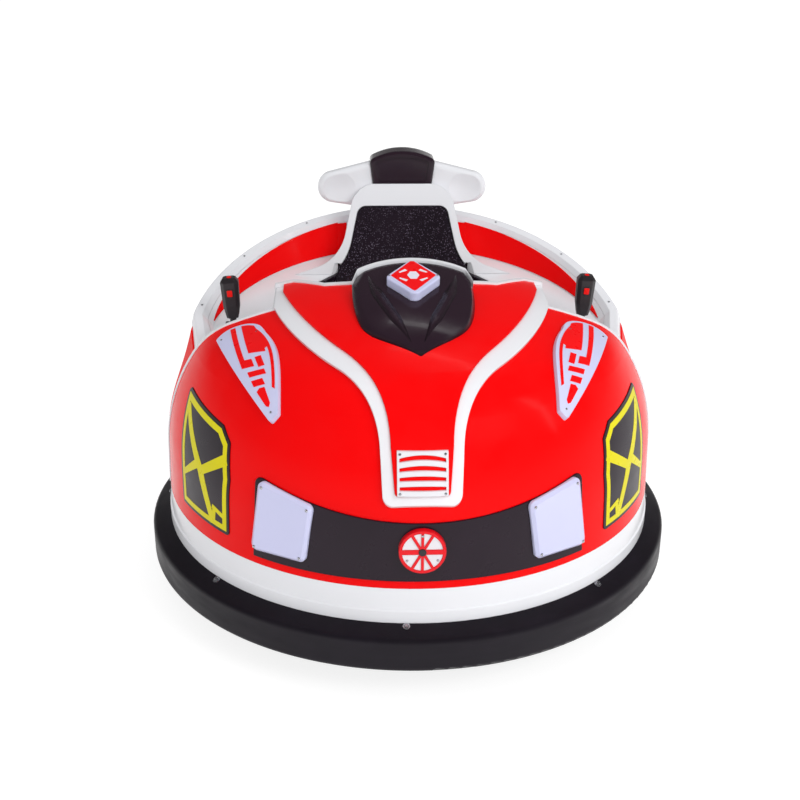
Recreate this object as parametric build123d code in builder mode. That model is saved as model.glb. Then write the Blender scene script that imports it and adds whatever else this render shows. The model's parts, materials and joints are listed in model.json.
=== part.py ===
from build123d import *
from math import asin, atan2, cos, degrees, hypot, radians, sin, sqrt
import os

os.makedirs("parts", exist_ok=True)

# A round two-stick bumper car. Millimetres, +Z up, the front faces -Y, origin on the floor
# under the middle of the bumper ring.

# Drive wheels and their gear motors
WHEEL_R = 110
WHEEL_W = 56
WHEEL_GAP = 14
WHEEL_INSET = 120
HUB_R = 64
HUB_DISH = 18
HUB_RIM = 8
HUB_BOSS = 9
TYRE_ROUND = 10
AXLE_R = 10
AXLE_HEAD = 6
RUN_GAP = 0.05
GEARBOX_L = 66
GEARBOX_H = 100
GEARBOX_GAP = 8
MOTOR_R = 42
MOTOR_L = 180

# Rubber bumper ring and the steel chassis inside it
BUMPER_R = 650
BUMPER_DEPTH = 90
BUMPER_H = 96
BUMPER_ROUND = 12
BUMPER_SLOPE_H = 18
BAND_T = 8
BAND_H = 82
DECK_DROP = 18
DECK_T = 6
MAT_T = 6
TIE_HOLE_R = 6.5
TIE_INSET = 60
TIE_POCKET_R = 16
TIE_POCKET_H = 40

# Body: white skirt, red dome in front, red tub behind
SHELL_T = 8
BODY_INSET = 50
SKIRT_H = 83
SKIRT_LIP = 5
SKIRT_STEP_H = 28
SKIRT_STEP = 3
SKIRT_FLANGE_T = 6
SKIRT_LAP = 4
SKIRT_GAP = 2
SPLIT_Y = -90
# Section of the dome: inset and rise of each joint of a line and two tangent arcs, before the round crown
DOME_STEPS = [(0, 0), (4, 119), (80, 354), (160, 418)]
# Sections of the tub: rise, how far the centre lies behind the axis, inset
TUB_STEPS = [(0, 0, 0), (119, 0, 4), (209, 4, 16), (299, 22.8, 46.8), (419, 22.6, 59.1), (539, 22.5, 72.5)]

# Rim of the cockpit, the wall inside it and the armrest ledge
RIM_RISE = 334
RIM_SLOPE = 0.366
RIM_INSET = 51
RIM_W = 23
RIM_T = 14
RIM_ROUND = 4
RIM_SILL = 3.5
WALL_RUN = 26
LEDGE_DROP = 12
LEDGE_SLOPE = 0.2
INSET_T = 3
INSET_LOW = 4
INSET_TOP_DROP = 32
INSET_TOP_SLOPE = 0.405
CORNER_Y = 106
CHEEK_RUN = 17
CHEEK_LOW = 53
CHEEK_DROP = 95
CHORD_Y = -60
BULKHEAD_T = 40

# Well of the seat: half widths, and how far each corner lies ahead of its back
WELL_HALF = 290
WELL_HALF_REAR = 268
WELL_BACK_HALF = 176
WELL_BEHIND = 46
WELL_CORNER = 94
WELL_SIDE = 224
BUCKET_T = 8
LINING_DROP = 2
SEAT_RISE = 230
SEAT_FRONT_Y = -20
SEAT_BOX_T = 8
BATTERY_GAP = 5
BATTERY_HALF = 170
BATTERY_H = 215
BATTERY_BEHIND = 31
CUSHION_T = 36
CUSHION_GAP = 1
CUSHION_ROUND = 12

# Seat back: a leaning plane through the top edge of the black panel
BACK_INSET = 80
BACK_RISE = 231
BACK_LEAN = 18
BACK_TOP_HALF = 118
BACK_TOP_ROUND = 25
BACK_HIP = (138, -92)
BACK_FLANK = (150, -128)
BACK_MID = (172, -162)
BACK_PAD_T = 14
BACK_PAD_PROUD = 2
BACK_GAP = 1
FRAME_T = 58
FRAME_LIP = 8
FRAME_TOP = (83, 59)
FRAME_SHOULDER = (124, 34)
FRAME_ARM = (138, 6)
FRAME_WAIST = (154, -70)
FRAME_HOLLOW = (176, -121)
FRAME_FOOT = (223, -159)
FRAME_TOE = (340, -199)

# Headrest pad and wings above the frame
HEAD_RISE = 50
HEAD_BACK = 50
HEAD_H = 69
HEAD_CROWN = 24
HEAD_LOW_HALF = 79
HEAD_HALF = 88
HEAD_T = 62
HEAD_ROUND = 14
HEAD_EDGE = 8
HEAD_POCKET = 3
HEAD_RAIL = 16
WING_TIP = 228
WING_R = 41
WING_TIP_RISE = -7
WING_ROOT_H = 84
WING_T = 44
WING_ROUND = 15
WING_DISH_R = 160
WING_DISH = 6

# Raised middle of the hood
RAISE = 14
STRIPE_H = 9
TRIM_W = 12
TRIM_LIP = 4
HORN_X = 326
HORN_RISE = 128
HORN_W = 46
DIP_X = 205
DIP_RISE = 46

# Console pod: plan like a shield, top a part of a ball
POD_REAR = 59
POD_TIP_INSET = 186
POD_HALF = 140
POD_CROWN = 47
POD_BALL_R = 1216
POD_BALL_BACK = 132
POD_REAR_H = 33.7
POD_BEVEL = 7
# Flank of the pod from the tip: shares of the half width and of the length
POD_FLANK = [(0, 0), (0.34, 0.123), (0.593, 0.198), (0.821, 0.3), (0.925, 0.42), (0.985, 0.58), (1, 0.76)]
POD_CORNER = 0.907

# Lamps and plates on the hood
BAND_PLATE_T = 4
BAND_LOW_HALF = 362
BAND_HALF = 351
BAND_LOW = 20
BAND_TOP = 155
BAND_END = 213
BAND_ROUND = 16
LENS_H = 9
LENS_DEPTH = 40
LENS_BEVEL = 7
LENS_ROUND = 15
LENS_AZ = 29.5
LENS_EL = 4.5
LENS_RISE = 118
LENS_OUTLINE = [(-58, 91.5), (76.6, 60), (59, -75), (-77, -76)]
DISC_R = 50
DISC_H = 12
DISC_RISE = 97
DISC_TILT = 3
DISC_RING = 7
DISC_RELIEF = 2
DISC_BAR = 11
DISC_SPOKE = 6
DISC_HUB_R = 8
GRILLE_HALF = 53
GRILLE_RISE = 220
GRILLE_H = 88
GRILLE_T = 5
LOUVRES = 4
LOUVRE_HALF = 48
LOUVRE_H = 8
LOUVRE_STEP = 18.3
LOUVRE_TOP = 14
LOUVRE_ARCH = 7
FIN_H = 10
FIN_AZ = 50
FIN_EL = 50
FIN_ROUND = 6
SIDE_AZ = 57
SIDE_ROUND = 9
PANEL_T = 2
LAMP_HALF_X = 65
LAMP_HALF_Y = 84
LAMP_AHEAD = 115
LAMP_H = 20
LAMP_CORNER = 16
LAMP_ROUND = 4

# Sticks on the armrests
STICK_INSET = 68
STICK_Y = 50
STICK_PIVOT_H = 26
STICK_LEAN = 3
STICK_LENGTH = 128
STICK_BASE = (70, 100, 6)
STICK_BASE_ROUND = 14
STICK_CHEEK_T = 8
STICK_CHEEK_GAP = 0.5
STICK_CHEEK_H = 10
STICK_CHEEK_HALF = 15
STICK_HUB_R = 13
STICK_HUB_W = 24
STICK_PIN_R = 5
STICK_NECK_R = 8
# Grip from the neck up: share of its height, width and depth of the section
GRIP_FROM = 26
GRIP_STEPS = [(0, 28, 26), (0.3, 40, 36), (0.9, 44, 38), (1, 30, 26)]
GRIP_CHAMFER = 0.22

# Casters: plate with kingpin, swivelling fork, wheel
CASTER_INSET = 140
CASTER_HEAD = 35
CASTER_W = 32
CASTER_TRAIL = 40
CASTER_HUB_R = 42
CASTER_DISH = 6
CASTER_AXLE_R = 6
CASTER_PLATE = (100, 84, 4)
CASTER_CLEAR = 7
CROWN_T = 12
CROWN_R = 30
KING_R = 8
KING_HEAD = 4
RACE_GAP = 0.5
LEG_T = 4
LEG_GAP = 4
LEG_REACH = 14

# Heights and radii that follow from the sizes above
deck_z = WHEEL_R + GEARBOX_H / 2
floor_z = deck_z + DECK_T
bumper_top = deck_z + DECK_DROP
bumper_bottom = bumper_top - BUMPER_H
band_r = BUMPER_R - BUMPER_DEPTH
band_in_r = band_r - BAND_T
body_r = BUMPER_R - BODY_INSET
body_z = bumper_top + SKIRT_H
skirt_r = body_r + SKIRT_LIP
rim_r = body_r - RIM_INSET
rim_in_r = rim_r - RIM_W
ledge_r = rim_in_r - WALL_RUN
rim_z = body_z + RIM_RISE
ledge_z = rim_z - LEDGE_DROP
back_y = ledge_r - BACK_INSET
back_z = rim_z + BACK_RISE
well_back_y = back_y - WELL_BEHIND
seat_z = floor_z + SEAT_RISE
wheel_x = band_r - WHEEL_INSET
stick_x = ledge_r - STICK_INSET
caster_y = band_r - CASTER_INSET
caster_r = (deck_z - CASTER_HEAD) / 2
dome = [(body_r - inset, body_z + rise) for inset, rise in DOME_STEPS]
big = 4 * BUMPER_R
high = 2 * BUMPER_R


def unit(a, b):
    """direction of (a, b) with length one"""
    n = hypot(a, b)
    return a / n, b / n


def dome_points(d):
    """joints of the dome's section, moved out by d, and the direction of travel at each"""
    t = unit(dome[1][0] - dome[0][0], dome[1][1] - dome[0][1])
    dirs = [t, t]
    for p, q in zip(dome[1:], dome[2:]):
        c = unit(q[0] - p[0], q[1] - p[1])
        along = 2 * (t[0] * c[0] + t[1] * c[1])
        t = (along * c[0] - t[0], along * c[1] - t[1])
        dirs.append(t)
    pts = [((p[0] + d * t[1], p[1] - d * t[0]), t) for p, t in zip(dome, dirs)]
    (r, z), t = pts[0]
    pts[0] = ((r + (body_z - z) * t[0] / t[1], body_z), t)
    return pts


def crown_height(d, r=0):
    """height at radius r of the crown moved out by d, whose sphere is centred on the axis"""
    (edge, z), t = dome_points(d)[-1]
    return z + edge * t[0] / t[1] + sqrt((edge / t[1]) ** 2 - r * r)


def dome_edges(d):
    """draw the dome's section, moved out by d, from the skirt to the axis"""
    pts = dome_points(d)
    Line(pts[0][0], pts[1][0])
    for (p, t), (q, _) in zip(pts[1:-1], pts[2:]):
        TangentArc(p, q, tangent=t)
    (r, z), t = pts[-1]
    start = degrees(atan2(-t[0], t[1]))
    CenterArc(center=(0, z + r * t[0] / t[1]), radius=r / t[1], start_angle=start, arc_size=90 - start)


def dome_layer(inner, outer):
    """the solid of revolution between the dome moved out by inner and by outer"""
    with BuildPart(mode=Mode.PRIVATE) as layer:
        with BuildSketch(Plane.XZ):
            with BuildLine():
                dome_edges(inner)
                dome_edges(outer)
                Line(dome_points(inner)[0][0], dome_points(outer)[0][0])
                Line((0, crown_height(inner)), (0, crown_height(outer)))
            make_face()
        revolve(axis=Axis.Z)
    return layer.part


def dome_solid(d):
    """everything under the dome moved out by d, down to the skirt"""
    low = dome_points(d)[0][0]
    with BuildPart(mode=Mode.PRIVATE) as solid:
        with BuildSketch(Plane.XZ):
            with BuildLine():
                dome_edges(d)
                Line((0, low[1]), low)
                Line((0, low[1]), (0, crown_height(d)))
            make_face()
        revolve(axis=Axis.Z)
    return solid.part


def tilted(z, slope, drop=0):
    """plane that rises towards the rear; drop lowers it along its normal"""
    n = Vector(0, -slope, 1).normalized()
    return Plane(origin=Vector(0, 0, z) - n * drop, x_dir=(1, 0, 0), z_dir=n)


def below(plane):
    """a big block under a plane"""
    with BuildPart(mode=Mode.PRIVATE) as block:
        with BuildSketch(plane):
            Rectangle(big, big)
        extrude(amount=-big)
    return block.part


def prism(plane, outline, low, top, radii=()):
    """extruded closed outline of straight sides with rounded corners"""
    with BuildPart(mode=Mode.PRIVATE) as solid:
        with BuildSketch(plane.offset(low)):
            Polygon(*outline, align=None)
            for near, r in radii:
                fillet(vertices().sort_by_distance((near[0], near[1], 0))[0], radius=r)
        extrude(amount=top - low)
    return solid.part


def sided(points):
    """a left half outline and its mirror, as one closed loop"""
    return list(points) + [(-x, y) for x, y in reversed(points) if x]


hood_axis = Plane(origin=(0, 0, 0), x_dir=(1, 0, 0), z_dir=(0, -1, 1))
front_axis = Plane(origin=(0, 0, 0), x_dir=(1, 0, 0), z_dir=(0, -1, 0))
rim_plane = tilted(rim_z, RIM_SLOPE)
rim_seat = tilted(rim_z, RIM_SLOPE, RIM_T)
ledge_plane = tilted(ledge_z, LEDGE_SLOPE)
lean = radians(BACK_LEAN)
back_plane = Plane(origin=(0, back_y, back_z), x_dir=(1, 0, 0), z_dir=(0, -cos(lean), sin(lean)))

# Flat cheeks that narrow the tub ahead of the rim's corners
corner_x = sqrt(rim_r ** 2 - CORNER_Y ** 2)
cheek_a = Vector(-corner_x, CORNER_Y, rim_z + RIM_SLOPE * CORNER_Y)
cheek_b = Vector(-corner_x + CHEEK_RUN, 0, rim_z)
cheek_c = Vector(-corner_x + CHEEK_RUN - CHEEK_LOW, 0, rim_z - CHEEK_DROP)
cheek_normal = (cheek_c - cheek_a).cross(cheek_b - cheek_a).normalized()


def cheek_cuts(inset):
    """what the cheeks, moved in by inset, take off both sides"""
    with BuildPart(mode=Mode.PRIVATE) as cut:
        face = Plane(origin=cheek_b, x_dir=(0, 1, 0), z_dir=cheek_normal).offset(-inset)
        with BuildSketch(face):
            Rectangle(big, big)
        extrude(amount=big)
        mirror(about=Plane.YZ)
    return cut.part


def tub_solid(inset, low=body_z):
    """the rear body's outside, moved in by inset: a loft of circles with a flat cheek on each side"""
    with BuildPart(mode=Mode.PRIVATE) as solid:
        for rise, back, narrow in TUB_STEPS:
            with BuildSketch(Plane.XY.offset(body_z + rise)):
                with Locations((0, back)):
                    Circle(body_r - narrow - inset)
        loft()
        add(cheek_cuts(inset), mode=Mode.SUBTRACT)
        if low < body_z:
            with BuildSketch(Plane.XY.offset(low)):
                Circle(body_r - inset)
            extrude(amount=body_z - low)
    return solid.part


# Bumper ring: rounded rubber section, sloping from the skirt to the outside
with BuildPart() as bumper_ring:
    with BuildSketch(Plane.XZ):
        Polygon((band_r, bumper_bottom), (BUMPER_R, bumper_bottom), (BUMPER_R, bumper_top - BUMPER_SLOPE_H),
                (skirt_r, bumper_top), (band_r, bumper_top), align=None)
        outer = vertices().group_by(Axis.X)[-1]
        fillet(outer, radius=BUMPER_ROUND)
    revolve(axis=Axis.Z)
bumper_ring.part.label = "bumper_ring"

# Chassis: rolled band, and a deck plate in it with wheel slots and tie-down holes
slot_w = WHEEL_W + 2 * WHEEL_GAP
slot_l = 2 * (WHEEL_R + WHEEL_GAP)
tie_at = (band_r - TIE_INSET) / sqrt(2)
with BuildPart() as chassis_band:
    with BuildSketch(Plane.XY.offset(bumper_top - BAND_H)):
        Circle(band_r)
        Circle(band_in_r, mode=Mode.SUBTRACT)
    extrude(amount=BAND_H)
chassis_band.part.label = "chassis_band"
with BuildPart() as deck_plate:
    with BuildSketch(Plane.XY.offset(deck_z)):
        Circle(band_in_r)
        with Locations((wheel_x, 0), (-wheel_x, 0)):
            Rectangle(slot_w, slot_l, mode=Mode.SUBTRACT)
        with GridLocations(2 * tie_at, 2 * tie_at, 2, 2):
            Circle(TIE_HOLE_R, mode=Mode.SUBTRACT)
    extrude(amount=DECK_T)
deck_plate.part.label = "deck_plate"

# White skirt between bumper and body
flange_r = band_in_r - SKIRT_LAP
skirt_in_r = skirt_r - SKIRT_STEP - SHELL_T
with BuildPart() as skirt_ring:
    with BuildSketch(Plane.XZ):
        Polygon((flange_r, bumper_top), (skirt_r, bumper_top), (skirt_r, bumper_top + SKIRT_STEP_H),
                (skirt_r - SKIRT_STEP, bumper_top + SKIRT_STEP_H + SKIRT_STEP), (body_r, body_z),
                (body_r - SHELL_T, body_z), (skirt_in_r, bumper_top + SKIRT_FLANGE_T),
                (flange_r, bumper_top + SKIRT_FLANGE_T), align=None)
    revolve(axis=Axis.Z)
skirt_ring.part.label = "skirt_ring"

# Plan of the hood: straight across at the split, with horns and a dip beside the pod
pod_rear_y = SPLIT_Y + POD_REAR
pod_tip_y = POD_TIP_INSET - body_r
pod_length = pod_rear_y - pod_tip_y
pod_corner = (POD_CORNER * POD_HALF, pod_rear_y - POD_CROWN)
horn_y = SPLIT_Y + HORN_RISE
dip_y = SPLIT_Y + DIP_RISE


def hood_plan(drop=0):
    """everything ahead of the hood's rear edge, which is moved forward by drop between the horns"""
    rear = [(-big, SPLIT_Y), (-HORN_X, SPLIT_Y), (-HORN_X, horn_y - drop), (-HORN_X + HORN_W, horn_y - 8 - drop),
            (-DIP_X, dip_y - drop), (-POD_HALF - TRIM_W, dip_y - 14 - drop),
            (-pod_corner[0] + 10, pod_corner[1] + TRIM_W + 4 - drop), (0, pod_rear_y + TRIM_W - drop)]
    return prism(Plane.XY, [(big, -big), (-big, -big)] + sided(rear), 0, high)


hood_zone = hood_plan(TRIM_W)
trim_zone = hood_plan()
with BuildPart() as hood_shell:
    add(dome_layer(-SHELL_T, 0))
    add(hood_zone, mode=Mode.INTERSECT)
hood_shell.part.label = "hood_shell"


def raised(outline_arcs, inner, outer):
    """a layer of the dome inside an outline drawn across the slope of the hood"""
    with BuildPart(mode=Mode.PRIVATE) as layer:
        with BuildSketch(hood_axis):
            with BuildLine():
                outline_arcs()
            make_face()
        extrude(amount=big)
        add(dome_layer(inner, outer), mode=Mode.INTERSECT)
        add(hood_zone, mode=Mode.INTERSECT)
    return layer.part


def funnel(top, knee, neck, foot, corner):
    """outline: wide at the cockpit, funnelled to a narrow neck in front"""
    def draw():
        for s in (-1, 1):
            ThreePointArc((s * top[0], top[1]), (s * top[2], top[3]), (s * knee[0], knee[1]))
            ThreePointArc((s * knee[0], knee[1]), (s * knee[2], knee[3]), (s * neck[0], neck[1]))
            Line((s * neck[0], neck[1]), (s * foot[0], foot[1] + corner))
            Line((s * top[0], top[1]), (s * top[0], high))
            ThreePointArc((s * foot[0], foot[1] + corner),
                          (s * (foot[0] - 0.3 * corner), foot[1] + 0.3 * corner),
                          (s * (foot[0] - corner), foot[1]))
        Line((-foot[0] + corner, foot[1]), (foot[0] - corner, foot[1]))
        Line((-top[0], high), (top[0], high))
    return draw


outer_funnel = funnel((322, 436, 264, 312), (180, 208, 112, 116), (87, 10), (83, -97), 22)
inner_funnel = funnel((304, 500, 236, 350), (160, 250, 90, 140), (65, 14), (58, -80), 8)
with BuildPart() as hood_stripe:
    add(raised(outer_funnel, 0, STRIPE_H))
    add(raised(inner_funnel, -1, RAISE + 1), mode=Mode.SUBTRACT)
hood_stripe.part.label = "hood_stripe"
with BuildPart() as hood_centre:
    add(raised(inner_funnel, 0, RAISE))
hood_centre.part.label = "hood_centre"

# Console pod: its ball passes a set height over the dome at the pod's rear
ball_y = pod_rear_y + POD_BALL_BACK
ball_z = crown_height(RAISE, pod_rear_y) + POD_REAR_H - sqrt(POD_BALL_R ** 2 - POD_BALL_BACK ** 2)


def pod_crown(lift):
    """the ball whose surface is the pod's top, moved out by lift"""
    with BuildPart(mode=Mode.PRIVATE) as ball:
        with Locations((0, ball_y, ball_z)):
            Sphere(POD_BALL_R + lift)
    return ball.part


def pod_column(grow, lift):
    """column over the pod's plan, its rear moved back by grow, under the crown moved out by lift"""
    flank = [(x * POD_HALF, pod_tip_y + y * pod_length) for x, y in POD_FLANK]
    corner = (pod_corner[0], pod_corner[1] + grow)
    with BuildPart(mode=Mode.PRIVATE) as column:
        with BuildSketch(Plane.XY.offset(body_z)):
            with BuildLine():
                for s in (-1, 1):
                    Spline(*[(s * x, y) for x, y in flank])
                    Line((s * flank[-1][0], flank[-1][1]), (s * corner[0], corner[1]))
                ThreePointArc((-corner[0], corner[1]), (0, pod_rear_y + grow), corner)
            make_face()
        extrude(amount=high)
        add(pod_crown(lift), mode=Mode.INTERSECT)
    return column.part


with BuildPart() as console_pod:
    add(pod_column(0, 0))
    chamfer(faces().sort_by(Axis.Z)[-1].edges(), length=POD_BEVEL, length2=2 * POD_BEVEL)
    add(dome_solid(RAISE), mode=Mode.SUBTRACT)
console_pod.part.label = "console_pod"

# White trim along the hood's rear edge and behind the pod
with BuildPart() as dash_trim:
    add(dome_layer(-SHELL_T, RAISE + TRIM_LIP))
    add(trim_zone, mode=Mode.INTERSECT)
    add(hood_zone, mode=Mode.SUBTRACT)
    with BuildPart(mode=Mode.PRIVATE) as collar:
        add(pod_column(TRIM_W, TRIM_LIP))
        add(pod_column(0, TRIM_LIP + 1), mode=Mode.SUBTRACT)
        add(dome_solid(RAISE), mode=Mode.SUBTRACT)
    add(collar.part)
    with BuildSketch(Plane.XY):
        Rectangle(2 * HORN_X, big)
    extrude(amount=high, mode=Mode.INTERSECT)
    add(console_pod.part, mode=Mode.SUBTRACT)
dash_trim.part.label = "dash_trim"

lamp_y = pod_rear_y - LAMP_AHEAD
lamp_lean = asin((lamp_y - ball_y) / POD_BALL_R)
lamp_plane = Plane(origin=(0, lamp_y, ball_z + POD_BALL_R * cos(lamp_lean)), x_dir=(1, 0, 0),
                   z_dir=(0, sin(lamp_lean), cos(lamp_lean)))
with BuildPart() as console_lamp:
    with BuildSketch(lamp_plane.offset(-LAMP_H)):
        Polygon((-LAMP_HALF_X, 0), (0, -LAMP_HALF_Y), (LAMP_HALF_X, 0), (0, LAMP_HALF_Y), align=None)
        fillet(vertices(), radius=LAMP_CORNER)
    extrude(amount=2 * LAMP_H)
    fillet(faces().sort_by(Axis.Z)[-1].edges(), radius=LAMP_ROUND)
    add(pod_crown(0), mode=Mode.SUBTRACT)
console_lamp.part.label = "console_lamp"

# Black band across the front and what it carries
with BuildPart() as lamp_band:
    with BuildSketch(front_axis):
        with BuildLine():
            low, ends = body_z + BAND_LOW, body_z + BAND_END
            Line((-BAND_LOW_HALF, low), (BAND_LOW_HALF, low))
            Line((BAND_LOW_HALF, low), (BAND_HALF, ends))
            ThreePointArc((BAND_HALF, ends), (0, body_z + BAND_TOP), (-BAND_HALF, ends))
            Line((-BAND_HALF, ends), (-BAND_LOW_HALF, low))
        make_face()
        fillet(vertices().group_by(Axis.Y)[-1], radius=BAND_ROUND)
    extrude(amount=big)
    add(dome_layer(0, BAND_PLATE_T), mode=Mode.INTERSECT)
lamp_band.part.label = "lamp_band"


def facing(azimuth, elevation, reach, rise):
    """plane that looks outward to the left of the front, from a point at radius reach over the body's foot"""
    az, el = radians(azimuth), radians(elevation)
    return Plane(origin=(-sin(az) * reach, -cos(az) * reach, body_z + rise), x_dir=(cos(az), -sin(az), 0),
                 z_dir=(-sin(az) * cos(el), -cos(az) * cos(el), sin(el)))


lamp_seat_r = dome[1][0] + BAND_PLATE_T
lens_plane = facing(LENS_AZ, LENS_EL, lamp_seat_r + LENS_H, LENS_RISE)
with BuildPart() as headlamps:
    with BuildSketch(lens_plane.offset(-LENS_DEPTH)):
        Polygon(*LENS_OUTLINE, align=None)
        fillet(vertices(), radius=LENS_ROUND)
    extrude(amount=LENS_DEPTH)
    chamfer(faces().sort_by(Axis((0, 0, 0), lens_plane.z_dir))[-1].edges(), length=LENS_BEVEL)
    add(dome_solid(BAND_PLATE_T), mode=Mode.SUBTRACT)
    mirror(about=Plane.YZ)
headlamps.part.label = "headlamps"

disc_plane = facing(0, DISC_TILT, lamp_seat_r + DISC_H, DISC_RISE)
with BuildPart() as disc_lamp:
    with BuildSketch(disc_plane):
        Circle(DISC_R)
    extrude(amount=-2 * DISC_H)
    with BuildSketch(disc_plane):
        Circle(DISC_R - 1)
        Circle(DISC_R - DISC_RING, mode=Mode.SUBTRACT)
        Rectangle(2 * (DISC_R - DISC_RING) + 1, DISC_BAR)
        for turn in (60, 90, 120):
            Rectangle(2 * (DISC_R - DISC_RING) + 1, DISC_SPOKE, rotation=turn)
        Circle(DISC_HUB_R)
    extrude(amount=DISC_RELIEF)
    with BuildSketch(disc_plane.offset(DISC_RELIEF)):
        Circle(DISC_HUB_R)
    extrude(amount=DISC_RELIEF)
    add(dome_solid(BAND_PLATE_T), mode=Mode.SUBTRACT)
disc_lamp.part.label = "disc_lamp"

grille_z = body_z + GRILLE_RISE
with BuildPart() as grille_plate:
    with BuildSketch(front_axis):
        with Locations((0, grille_z + GRILLE_H / 2)):
            Rectangle(2 * GRILLE_HALF, GRILLE_H)
        for i in range(LOUVRES):
            with BuildLine():
                end = grille_z + GRILLE_H - LOUVRE_TOP - i * LOUVRE_STEP
                arch = LOUVRE_ARCH * (1 - i / LOUVRES)
                ThreePointArc((-LOUVRE_HALF, end), (0, end + arch), (LOUVRE_HALF, end))
                Line((LOUVRE_HALF, end), (LOUVRE_HALF, end - LOUVRE_H))
                ThreePointArc((LOUVRE_HALF, end - LOUVRE_H), (0, end + arch - LOUVRE_H - 2),
                              (-LOUVRE_HALF, end - LOUVRE_H))
                Line((-LOUVRE_HALF, end - LOUVRE_H), (-LOUVRE_HALF, end))
            make_face(mode=Mode.SUBTRACT)
    extrude(amount=big)
    add(dome_layer(RAISE, RAISE + GRILLE_T), mode=Mode.INTERSECT)
grille_plate.part.label = "grille_plate"

# Fin lamps on the shoulders
with BuildPart() as fin_lamps:
    with BuildSketch(facing(FIN_AZ, FIN_EL, 0, -body_z)):
        with BuildLine():
            ThreePointArc((150, -8), (72, 88), (-60, 150))
            ThreePointArc((-60, 150), (-140, 140), (-160, 78))
            Line((-160, 78), (140, -32))
            Line((140, -32), (150, -8))
        make_face()
        fillet(vertices().sort_by(Axis.Y)[:2] + vertices().sort_by(Axis.X)[:1], radius=FIN_ROUND)
    extrude(amount=big)
    add(dome_layer(0, FIN_H), mode=Mode.INTERSECT)
    mirror(about=Plane.YZ)
fin_lamps.part.label = "fin_lamps"

# Printed panels on the flanks
SIDE_OUTLINE = [(132, 38), (134, 176), (114, 253), (78, 281), (-111, 307), (-75, 144), (-69, 44)]
with BuildPart() as side_panels:
    with BuildSketch(facing(SIDE_AZ, 0, 0, 0)):
        Polygon(*SIDE_OUTLINE, align=None)
        fillet(vertices(), radius=SIDE_ROUND)
    extrude(amount=big)
    add(dome_layer(0, PANEL_T), mode=Mode.INTERSECT)
    mirror(about=Plane.YZ)
side_panels.part.label = "side_panels"

# Rear tub: outer shell, rim, wall blocks
rear_zone = prism(Plane.XY, [(-big, SPLIT_Y), (big, SPLIT_Y), (big, big), (-big, big)], 0, high)
with BuildPart() as rear_shell:
    add(tub_solid(0))
    add(tub_solid(SHELL_T), mode=Mode.SUBTRACT)
    add(rear_zone, mode=Mode.INTERSECT)
    add(below(rim_seat), mode=Mode.INTERSECT)
rear_shell.part.label = "rear_shell"


def room_section(plane, slope, r, front):
    """plan of the room above the armrests on a tilted plane: round behind, straight sides to the front"""
    stretch = hypot(1, slope)
    at = degrees(asin(CORNER_Y / r))
    corner_half = r * cos(radians(at))
    front_x = corner_half - CHEEK_RUN * (CORNER_Y - front) / CORNER_Y
    with BuildSketch(plane) as section:
        with BuildLine():
            EllipticalCenterArc((0, 0), r, r * stretch, start_angle=at, arc_size=180 - 2 * at)
            Polyline((corner_half, CORNER_Y * stretch), (front_x, front * stretch), (-front_x, front * stretch),
                     (-corner_half, CORNER_Y * stretch))
        make_face()
    return section.sketch


def room(narrow):
    """the room between armrest ledge and rim inside the sloping wall, moved in by narrow"""
    with BuildPart(mode=Mode.PRIVATE) as space:
        loft([room_section(ledge_plane, LEDGE_SLOPE, ledge_r - narrow, CHORD_Y),
              room_section(rim_plane, RIM_SLOPE, rim_in_r - narrow, CHORD_Y)], ruled=True)
    return space.part


upper_room = room(0)
ledge_plan = room_section(Plane.XY, 0, ledge_r, SPLIT_Y)
with BuildPart() as rim_trim:
    with BuildSketch(rim_seat):
        Ellipse(rim_r, rim_r * hypot(1, RIM_SLOPE))
    extrude(amount=RIM_T)
    add(cheek_cuts(RIM_SILL), mode=Mode.SUBTRACT)
    fillet(faces().sort_by(Axis((0, 0, 0), rim_plane.z_dir))[-1].edges(), radius=RIM_ROUND)
    add(upper_room, mode=Mode.SUBTRACT)
    with BuildSketch(Plane.XY):
        add(ledge_plan)
    extrude(amount=high, mode=Mode.SUBTRACT)
    add(rear_zone, mode=Mode.INTERSECT)
rim_trim.part.label = "rim_trim"

# Seat well in plan
well_plan = sided([(-WELL_HALF, -big), (-WELL_HALF, well_back_y - WELL_SIDE),
                   (-WELL_HALF_REAR, well_back_y - WELL_CORNER), (-WELL_BACK_HALF, well_back_y)])


def well_sketch(shrink=0):
    """plan of the well, moved in by shrink"""
    with BuildSketch(mode=Mode.PRIVATE) as plan:
        Polygon(*well_plan, align=None)
        if shrink:
            offset(amount=-shrink, kind=Kind.INTERSECTION)
    return plan.sketch


def ahead_of(y):
    """a sketch of everything ahead of a line across the car"""
    with BuildSketch(mode=Mode.PRIVATE) as field:
        with Locations((0, y - big)):
            Rectangle(2 * big, 2 * big)
    return field.sketch


well = prism(Plane.XY, well_plan, deck_z, high)


def back_outline(grow, low):
    """outline of the black back panel in its leaning plane, straight sided"""
    low_v = (low - back_z) / cos(lean)
    low_y = back_y + low_v * sin(lean)
    corner_slope = (WELL_HALF_REAR - WELL_BACK_HALF) / WELL_CORNER
    low_half = WELL_HALF_REAR - (low_y - well_back_y + WELL_CORNER) * corner_slope - 2 * BUCKET_T
    return low_half + grow, low_v


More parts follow.
